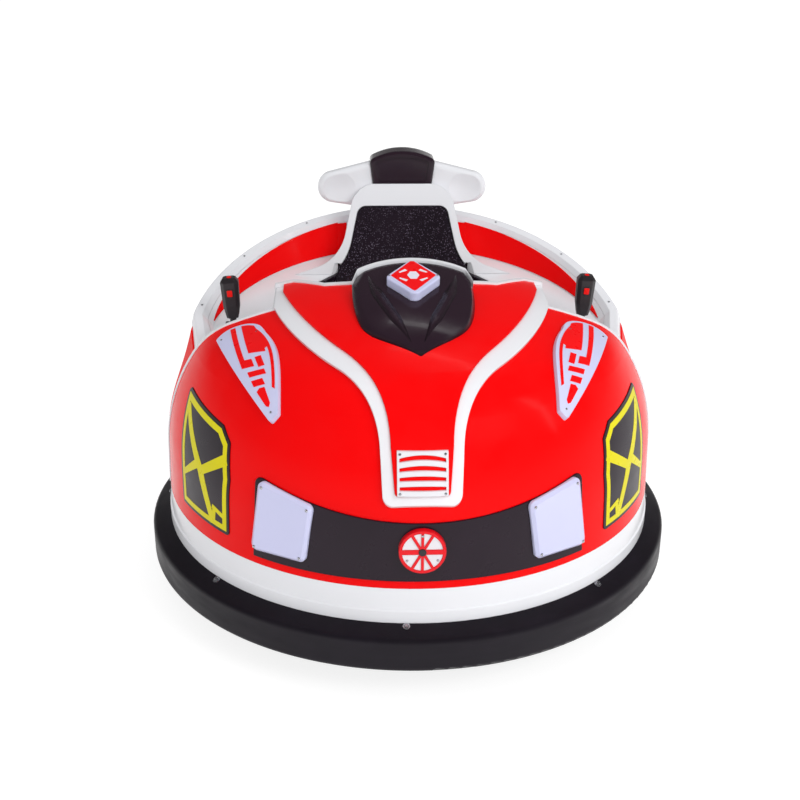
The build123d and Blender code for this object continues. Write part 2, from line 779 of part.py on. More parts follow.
def back_block(grow, low, behind, ahead):
    """the back panel's outline, grown, as a block from behind to ahead of its plane"""
    foot = back_outline(grow, low)
    hip, flank, mid = [(x + grow, v) for x, v in (BACK_HIP, BACK_FLANK, BACK_MID)]
    top = (BACK_TOP_HALF + grow, grow)
    with BuildPart(mode=Mode.PRIVATE) as block:
        with BuildSketch(back_plane.offset(-behind)):
            with BuildLine():
                for s in (-1, 1):
                    Line((s * top[0], top[1]), (s * hip[0], hip[1]))
                    ThreePointArc((s * hip[0], hip[1]), (s * flank[0], flank[1]), (s * mid[0], mid[1]))
                    Line((s * mid[0], mid[1]), (s * foot[0], foot[1]))
                Line((-top[0], top[1]), top)
                Line((-foot[0], foot[1]), foot)
            make_face()
            fillet(vertices().group_by(Axis.Y)[-1], radius=BACK_TOP_ROUND + grow)
        extrude(amount=behind + ahead)
    return block.part


back_low_z = seat_z + CUSHION_T + 24
back_recess = back_block(BACK_GAP, back_low_z - BACK_GAP, BACK_PAD_T, big)


def wheel_wells():
    """the room round both drive wheels and over the tie-down holes"""
    with BuildPart(mode=Mode.PRIVATE) as wells:
        with BuildSketch(Plane.XY.offset(deck_z)):
            with Locations((wheel_x, 0), (-wheel_x, 0)):
                Rectangle(slot_w, slot_l)
        extrude(amount=2 * WHEEL_R + WHEEL_GAP - deck_z)
        with BuildSketch(Plane.XY.offset(deck_z)):
            with GridLocations(2 * tie_at, 2 * tie_at, 2, 2):
                Circle(TIE_POCKET_R)
        extrude(amount=TIE_POCKET_H)
    return wells.part


with BuildPart() as cockpit_tub:
    add(tub_solid(SHELL_T, floor_z))
    add(rear_zone, mode=Mode.INTERSECT)
    with BuildPart(mode=Mode.PRIVATE) as top_cut:
        with BuildSketch(Plane.XY):
            Rectangle(big, big)
        extrude(amount=high)
        add(below(rim_seat), mode=Mode.SUBTRACT)
        with BuildPart(mode=Mode.PRIVATE) as ledge_core:
            with BuildSketch(Plane.XY):
                add(ledge_plan)
            extrude(amount=high)
            add(below(ledge_plane), mode=Mode.INTERSECT)
        add(ledge_core.part, mode=Mode.SUBTRACT)
    add(top_cut.part, mode=Mode.SUBTRACT)
    add(rim_trim.part, mode=Mode.SUBTRACT)
    add(well, mode=Mode.SUBTRACT)
    add(upper_room, mode=Mode.SUBTRACT)
    add(back_recess, mode=Mode.SUBTRACT)
    add(wheel_wells(), mode=Mode.SUBTRACT)
    with BuildSketch(Plane.XY.offset(floor_z)):
        Circle(BUMPER_R)
        Circle(flange_r - SKIRT_GAP, mode=Mode.SUBTRACT)
    extrude(amount=bumper_top + SKIRT_FLANGE_T - floor_z, mode=Mode.SUBTRACT)
    with BuildSketch(Plane.XY.offset(floor_z)):
        Circle(BUMPER_R)
        Circle(skirt_in_r - SKIRT_GAP, mode=Mode.SUBTRACT)
    extrude(amount=body_z - floor_z, mode=Mode.SUBTRACT)
cockpit_tub.part.label = "cockpit_tub"

# Bulkheads between hood and side walls
with BuildPart() as bulkheads:
    add(dome_solid(-SHELL_T))
    with BuildSketch(Plane.XY):
        with Locations((0, SPLIT_Y - BULKHEAD_T / 2)):
            Rectangle(big, BULKHEAD_T)
    extrude(amount=high, mode=Mode.INTERSECT)
    add(well, mode=Mode.SUBTRACT)
bulkheads.part.label = "bulkheads"

# Seat: box over the battery, lining of the well, cushion, back panel
battery_y0 = SEAT_FRONT_Y + SEAT_BOX_T + BATTERY_GAP
battery_y1 = well_back_y - BATTERY_BEHIND - BATTERY_GAP
with BuildPart() as seat_box:
    with BuildSketch(Plane.XY.offset(floor_z)):
        add(well_sketch())
        add(ahead_of(SEAT_FRONT_Y), mode=Mode.SUBTRACT)
    extrude(amount=SEAT_RISE)
    with BuildSketch(Plane.XY.offset(floor_z)):
        with Locations((0, (battery_y0 + battery_y1) / 2)):
            Rectangle(2 * (BATTERY_HALF + BATTERY_GAP), battery_y1 - battery_y0 + 2 * BATTERY_GAP)
    extrude(amount=SEAT_RISE - SEAT_BOX_T, mode=Mode.SUBTRACT)
seat_box.part.label = "seat_box"

with BuildPart() as battery:
    with BuildSketch(Plane.XY.offset(floor_z)):
        with Locations((0, (battery_y0 + battery_y1) / 2)):
            Rectangle(2 * BATTERY_HALF, battery_y1 - battery_y0)
    extrude(amount=BATTERY_H)
battery.part.label = "battery"

with BuildPart() as seat_lining:
    with BuildSketch(Plane.XY.offset(seat_z)):
        add(well_sketch())
        add(well_sketch(BUCKET_T), mode=Mode.SUBTRACT)
        add(ahead_of(SEAT_FRONT_Y), mode=Mode.SUBTRACT)
    extrude(amount=high)
    add(below(ledge_plane.offset(-LINING_DROP)), mode=Mode.INTERSECT)
    add(back_recess, mode=Mode.SUBTRACT)
seat_lining.part.label = "seat_lining"

with BuildPart() as seat_cushion:
    with BuildSketch(Plane.XY.offset(seat_z)):
        add(well_sketch(BUCKET_T + CUSHION_GAP))
        add(ahead_of(SEAT_FRONT_Y), mode=Mode.SUBTRACT)
    extrude(amount=CUSHION_T)
    with BuildSketch(back_plane.offset(-BACK_PAD_T - BACK_GAP)):
        Rectangle(big, big)
    extrude(amount=-big, mode=Mode.SUBTRACT)
    fillet(edges().group_by(Axis.Z)[-1], radius=CUSHION_ROUND)
seat_cushion.part.label = "seat_cushion"

with BuildPart() as seat_back:
    add(back_block(0, back_low_z, BACK_PAD_T, BACK_PAD_PROUD))
seat_back.part.label = "seat_back"


def frame_block(behind, ahead):
    """outline of the white frame as a block from behind to ahead of the back panel's plane"""
    with BuildPart(mode=Mode.PRIVATE) as block:
        with BuildSketch(back_plane.offset(-behind)):
            with BuildLine():
                for s in (-1, 1):
                    top, shoulder, arm, waist, hollow, foot, toe = [
                        (s * x, v) for x, v in (FRAME_TOP, FRAME_SHOULDER, FRAME_ARM, FRAME_WAIST, FRAME_HOLLOW,
                                                FRAME_FOOT, FRAME_TOE)]
                    ThreePointArc(top, shoulder, arm)
                    Line(arm, waist)
                    ThreePointArc(waist, hollow, foot)
                    Line(foot, toe)
                Line((-FRAME_TOP[0], FRAME_TOP[1]), FRAME_TOP)
                Line((-FRAME_TOE[0], FRAME_TOE[1]), FRAME_TOE)
            make_face()
        extrude(amount=behind + ahead)
    return block.part


# White frame round the seat back: slab above the ledge, carried back to the wall below the rim
with BuildPart() as seat_frame:
    add(frame_block(FRAME_T, FRAME_LIP))
    add(back_block(BACK_GAP, deck_z, BACK_PAD_T, big), mode=Mode.SUBTRACT)
    with BuildSketch(Plane.XY):
        Circle(ledge_r)
    extrude(amount=high, mode=Mode.INTERSECT)
    with BuildPart(mode=Mode.PRIVATE) as deep:
        add(frame_block(4 * FRAME_T, -FRAME_T))
        add(upper_room, mode=Mode.INTERSECT)
        add(below(rim_seat), mode=Mode.INTERSECT)
    add(deep.part)
    add(below(ledge_plane), mode=Mode.SUBTRACT)
    add(prism(Plane.XY, well_plan, deck_z, ledge_z + LEDGE_SLOPE * ledge_r), mode=Mode.SUBTRACT)
seat_frame.part.label = "seat_frame"

# Red facing of the sloping inner wall
with BuildPart() as inner_panels:
    add(upper_room)
    add(room(INSET_T), mode=Mode.SUBTRACT)
    add(below(tilted(rim_z - INSET_TOP_DROP, INSET_TOP_SLOPE, 0)), mode=Mode.INTERSECT)
    add(below(ledge_plane.offset(INSET_LOW)), mode=Mode.SUBTRACT)
    with BuildSketch(Plane.XY):
        Rectangle(2 * WELL_BACK_HALF, big)
        add(ahead_of(0))
    extrude(amount=high, mode=Mode.SUBTRACT)
    add(seat_frame.part, mode=Mode.SUBTRACT)
inner_panels.part.label = "inner_panels"

# Headrest pad and its wings
head_plane = Plane(origin=(0, back_y + HEAD_BACK, back_z + HEAD_RISE), x_dir=(1, 0, 0), z_dir=(0, -1, 0))


def head_block(depth):
    """the pad's outline as a block as deep as given"""
    with BuildPart(mode=Mode.PRIVATE) as block:
        with BuildSketch(head_plane.offset(-depth / 2)):
            with BuildLine():
                Polyline((HEAD_HALF, HEAD_H), (HEAD_LOW_HALF, 0), (-HEAD_LOW_HALF, 0), (-HEAD_HALF, HEAD_H))
                ThreePointArc((-HEAD_HALF, HEAD_H), (0, HEAD_H + HEAD_CROWN), (HEAD_HALF, HEAD_H))
            make_face()
        extrude(amount=depth)
        fillet(edges().filter_by(Axis.Y).group_by(Axis.Z)[-1], radius=HEAD_ROUND)
    return block.part


with BuildPart() as headrest_pad:
    add(head_block(HEAD_T))
    fillet(faces().sort_by(Axis.Y)[0].edges(), radius=HEAD_EDGE)
    with BuildSketch(head_plane.offset(HEAD_T / 2 - HEAD_POCKET)):
        with BuildLine():
            Polyline((HEAD_HALF - HEAD_RAIL, HEAD_H - 4), (HEAD_LOW_HALF - HEAD_RAIL, HEAD_RAIL - 4),
                     (HEAD_RAIL - HEAD_LOW_HALF, HEAD_RAIL - 4), (HEAD_RAIL - HEAD_HALF, HEAD_H - 4))
            ThreePointArc((HEAD_RAIL - HEAD_HALF, HEAD_H - 4), (0, HEAD_H + HEAD_CROWN - HEAD_RAIL),
                          (HEAD_HALF - HEAD_RAIL, HEAD_H - 4))
        make_face()
        fillet(vertices(), radius=HEAD_EDGE)
    extrude(amount=HEAD_T, mode=Mode.SUBTRACT)
    add(seat_frame.part, mode=Mode.SUBTRACT)
headrest_pad.part.label = "headrest_pad"

with BuildPart() as head_wings:
    with BuildSketch(head_plane.offset(-WING_T / 2)):
        with BuildLine():
            tip = (WING_TIP - 0.8 * WING_R, WING_TIP_RISE + WING_R)
            low = (WING_TIP - 0.8 * WING_R, WING_TIP_RISE - WING_R)
            root = (0, WING_ROOT_H)
            for s in (-1, 1):
                Line((s * root[0], root[1]), (s * tip[0], tip[1]))
                ThreePointArc((s * tip[0], tip[1]), (s * WING_TIP, WING_TIP_RISE), (s * low[0], low[1]))
                Line((s * low[0], low[1]), (s * (low[0] - 60), low[1] - 9))
            Line((60 - low[0], low[1] - 9), (low[0] - 60, low[1] - 9))
        make_face()
    extrude(amount=WING_T)
    fillet(faces().sort_by(Axis.Y)[0].edges() + faces().sort_by(Axis.Y)[-1].edges(), radius=WING_ROUND)
    with Locations(*[(s * (WING_TIP - 58), back_y + HEAD_BACK - WING_T / 2 - WING_DISH_R + WING_DISH,
                      back_z + HEAD_RISE - 8) for s in (-1, 1)]):
        Sphere(WING_DISH_R, mode=Mode.SUBTRACT)
    add(head_block(HEAD_T + 2), mode=Mode.SUBTRACT)
    add(seat_frame.part, mode=Mode.SUBTRACT)
head_wings.part.label = "head_wings"

# Foot mat
with BuildPart() as foot_mat:
    with BuildSketch(Plane.XY.offset(floor_z)):
        Circle(band_in_r - BAND_T)
        Rectangle(2 * (WELL_HALF - CUSHION_GAP), big, mode=Mode.INTERSECT)
        with Locations((0, SEAT_FRONT_Y + big / 2)):
            Rectangle(big, big, mode=Mode.SUBTRACT)
    extrude(amount=MAT_T)
foot_mat.part.label = "foot_mat"

# Gear motors under the deck, their shafts carry the drive wheels
gear_in = wheel_x - WHEEL_W / 2 - GEARBOX_GAP - GEARBOX_L
axle_spot = (0, WHEEL_R)
with BuildPart() as drive_motors:
    for s in (-1, 1):
        with BuildSketch(Plane.YZ.offset(s * gear_in)):
            with Locations(axle_spot):
                Rectangle(GEARBOX_H, GEARBOX_H)
        extrude(amount=s * GEARBOX_L)
        with BuildSketch(Plane.YZ.offset(s * gear_in)):
            with Locations(axle_spot):
                Circle(MOTOR_R)
        extrude(amount=-s * MOTOR_L)
        with BuildSketch(Plane.YZ.offset(s * (gear_in + GEARBOX_L))):
            with Locations(axle_spot):
                Circle(AXLE_R)
        extrude(amount=s * (GEARBOX_GAP + WHEEL_W + 1))
        with BuildSketch(Plane.YZ.offset(s * (wheel_x + WHEEL_W / 2 + 1))):
            with Locations(axle_spot):
                Circle(AXLE_R + AXLE_HEAD)
        extrude(amount=s * AXLE_HEAD)
drive_motors.part.label = "drive_motors"


def wheel(x, y, r, w, bore, hub_r, dish):
    """a rolling wheel about X: hub with a bore and a rounded tyre"""
    with BuildPart(mode=Mode.PRIVATE) as hub:
        with BuildSketch(Plane.YZ.offset(x - w / 2)):
            with Locations((y, r)):
                Circle(hub_r)
                Circle(bore, mode=Mode.SUBTRACT)
        extrude(amount=w)
        for side, way in ((x - w / 2, 1), (x + w / 2, -1)):
            with BuildSketch(Plane.YZ.offset(side)):
                with Locations((y, r)):
                    Circle(hub_r - HUB_RIM)
                    Circle(bore + HUB_BOSS, mode=Mode.SUBTRACT)
            extrude(amount=way * dish, mode=Mode.SUBTRACT)
    with BuildPart(mode=Mode.PRIVATE) as tyre:
        with BuildSketch(Plane.YZ.offset(x - w / 2)):
            with Locations((y, r)):
                Circle(r)
                Circle(hub_r, mode=Mode.SUBTRACT)
        extrude(amount=w)
        fillet(tyre.edges().group_by(SortBy.LENGTH)[-1], radius=min(TYRE_ROUND, w / 4))
    return hub.part, tyre.part


pieces = []
for side, s in (("left", -1), ("right", 1)):
    hub, tyre = wheel(s * wheel_x, 0, WHEEL_R, WHEEL_W, AXLE_R + RUN_GAP, HUB_R, HUB_DISH)
    with BuildPart() as drive_hub:
        add(hub)
    drive_hub.part.label = "drive_hub_" + side
    with BuildPart() as drive_tyre:
        add(tyre)
    drive_tyre.part.label = "drive_tyre_" + side
    pieces += [drive_hub, drive_tyre]

crown_z = 2 * caster_r + CASTER_CLEAR
race_z = crown_z + CROWN_T + RACE_GAP
king_low = crown_z - KING_HEAD - 1
with BuildPart() as caster_mounts:
    for s in (-1, 1):
        with BuildSketch(Plane.XY.offset(deck_z - CASTER_PLATE[2])):
            with Locations((0, s * caster_y)):
                Rectangle(CASTER_PLATE[0], CASTER_PLATE[1])
        extrude(amount=CASTER_PLATE[2])
        with BuildSketch(Plane.XY.offset(race_z)):
            with Locations((0, s * caster_y)):
                Circle(CROWN_R)
        extrude(amount=deck_z - CASTER_PLATE[2] - race_z)
        with BuildSketch(Plane.XY.offset(king_low)):
            with Locations((0, s * caster_y)):
                Circle(KING_R)
        extrude(amount=race_z - king_low)
        with BuildSketch(Plane.XY.offset(king_low)):
            with Locations((0, s * caster_y)):
                Circle(KING_R + KING_HEAD)
        extrude(amount=crown_z - RACE_GAP - king_low)
caster_mounts.part.label = "caster_mounts"

leg_in = CASTER_W / 2 + LEG_GAP
axle_h = caster_r
for end, s in (("front", -1), ("rear", 1)):
    y = s * caster_y
    axle_y = y + CASTER_TRAIL
    with BuildPart() as caster_fork:
        with BuildSketch(Plane.XY.offset(crown_z)):
            with Locations((0, y)):
                Circle(CROWN_R)
            with Locations((0, y + 12)):
                Rectangle(2 * (leg_in + LEG_T), 50)
            with Locations((0, y)):
                Circle(KING_R + RUN_GAP, mode=Mode.SUBTRACT)
        extrude(amount=CROWN_T)
        for x in (-leg_in - LEG_T, leg_in):
            with BuildSketch(Plane.YZ.offset(x)):
                Polygon((y - 13, crown_z), (y + 37, crown_z), (axle_y + LEG_REACH, axle_h),
                        (axle_y + LEG_REACH - 6, axle_h - LEG_REACH), (axle_y - LEG_REACH + 6, axle_h - LEG_REACH),
                        (axle_y - LEG_REACH, axle_h), align=None)
            extrude(amount=LEG_T)
        with BuildSketch(Plane.YZ.offset(-leg_in)):
            with Locations((axle_y, axle_h)):
                Circle(CASTER_AXLE_R)
        extrude(amount=2 * leg_in)
    caster_fork.part.label = "caster_fork_" + end
    hub, tyre = wheel(0, axle_y, caster_r, CASTER_W, CASTER_AXLE_R + RUN_GAP, CASTER_HUB_R, CASTER_DISH)
    with BuildPart() as caster_hub:
        add(hub)
    caster_hub.part.label = "caster_hub_" + end
    with BuildPart() as caster_tyre:
        add(tyre)
    caster_tyre.part.label = "caster_tyre_" + end
    pieces += [caster_fork, caster_hub, caster_tyre]

# Sticks on the armrests
stick_floor = ledge_z + LEDGE_SLOPE * STICK_Y
stick_plane = Plane(origin=(0, STICK_Y, stick_floor), x_dir=(1, 0, 0), z_dir=ledge_plane.z_dir)
pivot_z = stick_floor + STICK_PIVOT_H
with BuildPart() as stick_bases:
    with BuildSketch(stick_plane):
        with Locations((-stick_x, 0), (stick_x, 0)):
            RectangleRounded(STICK_BASE[0], STICK_BASE[1], STICK_BASE_ROUND)
    extrude(amount=STICK_BASE[2])
    for s in (-1, 1):
        for side in (-1, 1):
            inner = s * stick_x + side * (STICK_HUB_W / 2 + STICK_CHEEK_GAP)
            with BuildSketch(Plane.YZ.offset(inner)):
                half, low, tall = STICK_CHEEK_HALF, stick_floor + STICK_BASE[2] / 2 + 0.2, pivot_z + STICK_CHEEK_H
                Polygon((STICK_Y - half, low), (STICK_Y + half, low), (STICK_Y + half - 3, tall),
                        (STICK_Y - half + 3, tall), align=None)
                with Locations((STICK_Y, pivot_z)):
                    Circle(STICK_PIN_R + RUN_GAP, mode=Mode.SUBTRACT)
            extrude(amount=side * STICK_CHEEK_T)
stick_bases.part.label = "stick_bases"

for side, s in (("left", -1), ("right", 1)):
    tilt = radians(STICK_LEAN)
    axis = Vector(s * sin(tilt), 0, cos(tilt))
    pivot = Vector(s * stick_x, STICK_Y, pivot_z)
    with BuildPart() as stick:
        with BuildSketch(Plane.YZ.offset(s * stick_x - STICK_HUB_W / 2)):
            with Locations((STICK_Y, pivot_z)):
                Circle(STICK_HUB_R)
        extrude(amount=STICK_HUB_W)
        with BuildSketch(Plane.YZ.offset(s * stick_x - STICK_HUB_W / 2 - STICK_CHEEK_T)):
            with Locations((STICK_Y, pivot_z)):
                Circle(STICK_PIN_R)
        extrude(amount=STICK_HUB_W + 2 * STICK_CHEEK_T)
        with BuildSketch(Plane(origin=pivot, x_dir=(0, 1, 0), z_dir=axis)):
            Circle(STICK_NECK_R)
        extrude(amount=GRIP_FROM + STICK_NECK_R)
        with BuildPart(mode=Mode.PRIVATE) as grip:
            for share, width, depth in GRIP_STEPS:
                at = GRIP_FROM + share * (STICK_LENGTH - GRIP_FROM)
                with BuildSketch(Plane(origin=pivot + axis * at, x_dir=(0, 1, 0), z_dir=axis)):
                    Rectangle(depth, width)
                    chamfer(vertices(), length=GRIP_CHAMFER * depth)
            loft(ruled=True)
        add(grip.part)
    stick.part.label = "stick_" + side
    pieces.append(stick)

pieces += [bumper_ring, chassis_band, deck_plate, skirt_ring, hood_shell, hood_stripe, hood_centre, console_pod,
           console_lamp, dash_trim, lamp_band, headlamps, disc_lamp, grille_plate, fin_lamps, side_panels,
           rear_shell, rim_trim, cockpit_tub, bulkheads, inner_panels, seat_box, seat_lining, seat_cushion,
           seat_back, seat_frame, headrest_pad, head_wings, foot_mat, battery, drive_motors, caster_mounts,
           stick_bases]
for piece in pieces:
    export_step(piece.part, "parts/" + piece.part.label + ".step")
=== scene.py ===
import json
import math

import bmesh
import bpy
from mathutils import Matrix, Vector
from mathutils.bvhtree import BVHTree


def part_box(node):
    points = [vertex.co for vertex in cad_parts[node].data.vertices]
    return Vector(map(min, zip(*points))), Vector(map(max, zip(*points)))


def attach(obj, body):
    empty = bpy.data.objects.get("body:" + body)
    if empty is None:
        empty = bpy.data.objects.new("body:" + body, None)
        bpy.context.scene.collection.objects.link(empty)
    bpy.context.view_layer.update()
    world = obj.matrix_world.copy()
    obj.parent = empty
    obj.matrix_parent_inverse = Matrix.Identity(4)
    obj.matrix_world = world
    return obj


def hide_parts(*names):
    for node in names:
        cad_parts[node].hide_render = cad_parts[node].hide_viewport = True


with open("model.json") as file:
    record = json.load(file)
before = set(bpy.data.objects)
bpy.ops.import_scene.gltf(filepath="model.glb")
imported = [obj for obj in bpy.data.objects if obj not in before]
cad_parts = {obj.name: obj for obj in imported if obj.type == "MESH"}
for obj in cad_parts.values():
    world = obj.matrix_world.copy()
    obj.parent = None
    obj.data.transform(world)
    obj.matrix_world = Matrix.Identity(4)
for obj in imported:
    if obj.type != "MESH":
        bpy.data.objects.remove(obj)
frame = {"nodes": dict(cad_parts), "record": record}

NODES = frame["nodes"]
MM = 0.001
UP = Vector((0, 0, 1))


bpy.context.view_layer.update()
scene = bpy.context.scene

# Sizes of the source that the added pieces need, in millimetres and degrees
BODY_Z = 261
DOME_FOOT_R = 596
BAND_PLATE_T = 4
LENS_AZ, LENS_EL, LENS_RISE, LENS_H = 29.5, 4.5, 118, 9
DISC_TILT, DISC_RISE, DISC_H, DISC_RELIEF = 3, 97, 12, 2
GRILLE_HALF, GRILLE_LOW, GRILLE_H = 53, 481, 88
FIN_AZ, FIN_EL = 50, 50
SIDE_AZ = 57
SIDE_OUTLINE = [(132, 38), (134, 176), (114, 253), (78, 281), (-111, 307), (-75, 144), (-69, 44)]
LAMP_Y, LAMP_HALF_X, LAMP_HALF_Y = -146, 54, 70
RIM_MID_R = 537
WHEEL_X, WHEEL_R, WHEEL_W, HUB_R = 440, 110, 56, 64
CASTER_Y = 420
STICK_X, STICK_Y, STICK_PIVOT_Z, STICK_LEAN = 432, 50, 619, 3
SPLIT_Y, HORN_X = -90, 326
POD_TIP_Y, POD_LENGTH, POD_BALL_Y, POD_BALL_R = -410, 379, 101, 1216

# Camera: the photograph's view, solved from the bumper ring's outline; pixels, metres and degrees
PHOTO_PX, FOCAL_PX, SENSOR_MM = 800, 1226.0, 36.0
RING_PX, RING_Z = (408.7, 497.8), 0.16
CAMERA_FAR, CAMERA_AZ, CAMERA_EL, CAMERA_ROLL = 3.2, -3.0, 28.0, 0.4


def add_camera():
    """looks at the ring's middle, then turns until that middle has its place in the picture"""
    az, elevation, roll = (math.radians(a) for a in (CAMERA_AZ, CAMERA_EL, CAMERA_ROLL))

    def away(el):
        return Vector((math.sin(az) * math.cos(el), -math.cos(az) * math.cos(el), math.sin(el)))

    at = Vector((0, 0, RING_Z)) + away(elevation) * CAMERA_FAR
    turn, tip = (math.atan((px - PHOTO_PX / 2) / FOCAL_PX) for px in RING_PX)
    forward = -away(elevation - tip)
    right = forward.cross(UP).normalized()
    forward = (forward * math.cos(turn) - right * math.sin(turn)).normalized()
    right = forward.cross(UP).normalized()
    up = right.cross(forward)
    right, up = right * math.cos(roll) + up * math.sin(roll), up * math.cos(roll) - right * math.sin(roll)
    data = bpy.data.cameras.new("camera")
    data.sensor_width = SENSOR_MM
    data.lens = FOCAL_PX * SENSOR_MM / PHOTO_PX
    data.clip_start, data.clip_end = 0.05, 60
    camera = bpy.data.objects.new("camera", data)
    scene.collection.objects.link(camera)
    camera.matrix_world = Matrix((
        (right.x, up.x, -forward.x, at.x), (right.y, up.y, -forward.y, at.y), (right.z, up.z, -forward.z, at.z),
        (0, 0, 0, 1)))
    scene.camera = camera


add_camera()

# Materials

# Inputs of Blender's Mix node: the share, then the two numbers or the two colours
MIX_SHARE, MIX_NUMBERS, MIX_COLORS = 0, (2, 3), (6, 7)


class Look:
    """a node material: the shader's own values, and short calls that add nodes to it; lengths in metres"""

    def __init__(self, name, color, rough, **more):
        self.mat = bpy.data.materials.new(name)
        self.mat.use_nodes = True
        self.tree = self.mat.node_tree
        self.shader = self.tree.nodes["Principled BSDF"]
        self.color, self.rough = color, rough
        values = {"Base Color": (*color, 1), "Roughness": rough}
        values.update({key.replace("_", " "): value for key, value in more.items()})
        for key, value in values.items():
            self.shader.inputs[key].default_value = value
        self.place = self.tree.nodes.new("ShaderNodeTexCoord").outputs["Object"]
        self.normal = None

    def node(self, kind, inputs, **settings):
        """a new node; each input is a socket to link, a value to set, or None to leave alone"""
        n = self.tree.nodes.new("ShaderNode" + kind)
        for key, value in settings.items():
            setattr(n, key, value)
        for key, value in inputs.items():
            if isinstance(value, bpy.types.NodeSocket):
                self.tree.links.new(value, n.inputs[key])
            elif value is not None:
                n.inputs[key].default_value = value
        return n

    def noise(self, scale, detail=3.0, stretch=None):
        at = self.place
        if stretch:
            at = self.node("Mapping", {"Vector": self.place, "Scale": stretch}).outputs[0]
        return self.node("TexNoise", {"Vector": at, "Scale": scale, "Detail": detail}).outputs[0]

    def cells(self, scale, feature="F1", out="Distance"):
        return self.node("TexVoronoi", {"Vector": self.place, "Scale": scale}, feature=feature).outputs[out]

    def any_cell(self, scale):
        """a random value for each cell"""
        return self.node("SeparateColor", {"Color": self.cells(scale, out="Color")}).outputs[0]

    def spread(self, source, a, b, low=0.3, high=0.7):
        """source from low..high as a value from a to b"""
        return self.node("MapRange", {"Value": source, "From Min": low, "From Max": high, "To Min": a,
                                      "To Max": b}).outputs[0]

    def times(self, a, b, how="MULTIPLY"):
        return self.node("Math", {0: a, 1: b}, operation=how).outputs[0]

    def blend(self, share, a, b):
        """from colour a to colour b by a share from 0 to 1"""
        n = self.node("Mix", {MIX_SHARE: share}, data_type="RGBA")
        for index, value in zip(MIX_COLORS, (a, b)):
            if isinstance(value, bpy.types.NodeSocket):
                self.tree.links.new(value, n.inputs[index])
            else:
                n.inputs[index].default_value = (*value, 1)
        return n.outputs[2]

    def paint(self, socket, value):
        self.tree.links.new(value, self.shader.inputs[socket])

    def soften(self, radius):
        """rounds every sharp edge for the light"""
        self.normal = self.node("Bevel", {"Radius": radius}, samples=4).outputs[0]
        self.paint("Normal", self.normal)

    def bump(self, height, depth, strength=1.0):
        n = self.node("Bump", {"Height": height, "Distance": depth, "Strength": strength, "Normal": self.normal})
        self.normal = n.outputs[0]
        self.paint("Normal", self.normal)

    def tint(self, scale, change, detail=2.0):
        """lighter and darker fields of the base colour"""
        share = self.spread(self.noise(scale, detail), 0, 1)
        self.paint("Base Color", self.blend(share, shade(self.color, 1 - change), shade(self.color, 1 + change)))

    def gloss(self, scale, change, stretch=None):
        """uneven roughness"""
        noise = self.noise(scale, 4.0, stretch)
        self.paint("Roughness", self.spread(noise, self.rough - change, self.rough + change))


def shade(color, factor):
    return tuple(min(c * factor, 1) for c in color)


def gelcoat(name, color, specular):
    """sprayed gel coat: faint waves of the mould, orange peel, fine dust in the gloss"""
    k = Look(name, color, 0.22, Coat_Weight=specular / 2, Coat_Roughness=0.06, Specular_IOR_Level=specular)
    k.soften(0.003)
    k.tint(3.0, change=0.03)
    k.gloss(22.0, change=0.05)
    k.bump(k.noise(7.0, 1.0), depth=0.0012, strength=0.5)
    k.bump(k.noise(260.0, 2.0), depth=0.00012, strength=0.5)
    return k


def gloss_black(name, color, rough, edge):
    """black plastic with a clear skin: waves of the mould and a fine peel; edge is its radius for the light"""
    k = Look(name, color, rough, Coat_Weight=0.12, Coat_Roughness=0.05, Specular_IOR_Level=0.2)
    k.soften(edge)
    k.tint(5.0, change=0.12)
    k.gloss(30.0, change=0.04)
    k.bump(k.noise(9.0, 1.0), depth=0.001, strength=0.4)
    k.bump(k.noise(300.0, 2.0), depth=0.00008, strength=0.5)
    return k


def flecked(name, color, fleck_color):
    """black gel coat with a glitter of small silver flecks, thicker in some places than in others"""
    k = Look(name, color, 0.24, Coat_Weight=0.25, Coat_Roughness=0.07, Specular_IOR_Level=0.3)
    k.soften(0.002)
    core = k.spread(k.cells(430.0), 1, 0, 0.30, 0.50)
    fleck = k.times(k.spread(k.any_cell(430.0), 0, 1, 0.78, 0.90), core)
    share = k.times(fleck, k.spread(k.noise(6.0), 0.25, 1.0))
    base = k.blend(k.spread(k.noise(4.0, 2.0), 0, 1), shade(color, 0.8), shade(color, 1.25))
    k.paint("Base Color", k.blend(share, base, fleck_color))
    k.paint("Metallic", k.times(share, 0.7))
    k.bump(k.noise(8.0, 1.0), depth=0.0012, strength=0.4)
    k.bump(share, depth=0.0001, strength=0.3)
    return k


def rubber(name, color, rough):
    """moulded rubber: fine grain, streaks of wear, dust in random fields"""
    k = Look(name, color, rough, Specular_IOR_Level=0.2)
    k.soften(0.004)
    scuff = k.spread(k.noise(5.0, 5.0, (1, 1, 14)), 0, 1, 0.58, 0.75)
    dust = k.spread(k.noise(16.0, 4.0), 0, 0.35, 0.45, 0.7)
    worn = k.blend(k.times(scuff, 0.35), color, shade(color, 2.0))
    k.paint("Base Color", k.blend(dust, worn, shade(color, 1.5)))
    k.gloss(9.0, change=0.08, stretch=(1, 1, 5))
    k.bump(k.noise(420.0, 2.0), depth=0.00018, strength=0.6)
    k.bump(k.noise(5.0, 2.0, (1, 1, 6)), depth=0.0008, strength=0.3)
    return k


def milky(name, color):
    """milky acrylic: faint depth in the colour, a hard clear skin"""
    k = Look(name, color, 0.30, Coat_Weight=0.15, Coat_Roughness=0.05, Subsurface_Weight=0.15,
             Subsurface_Radius=(1, 1, 1), Subsurface_Scale=0.004)
    k.soften(0.003)
    k.tint(4.0, change=0.012)
    k.gloss(12.0, change=0.02)
    k.bump(k.noise(6.0, 1.0), depth=0.0003, strength=0.3)
    return k


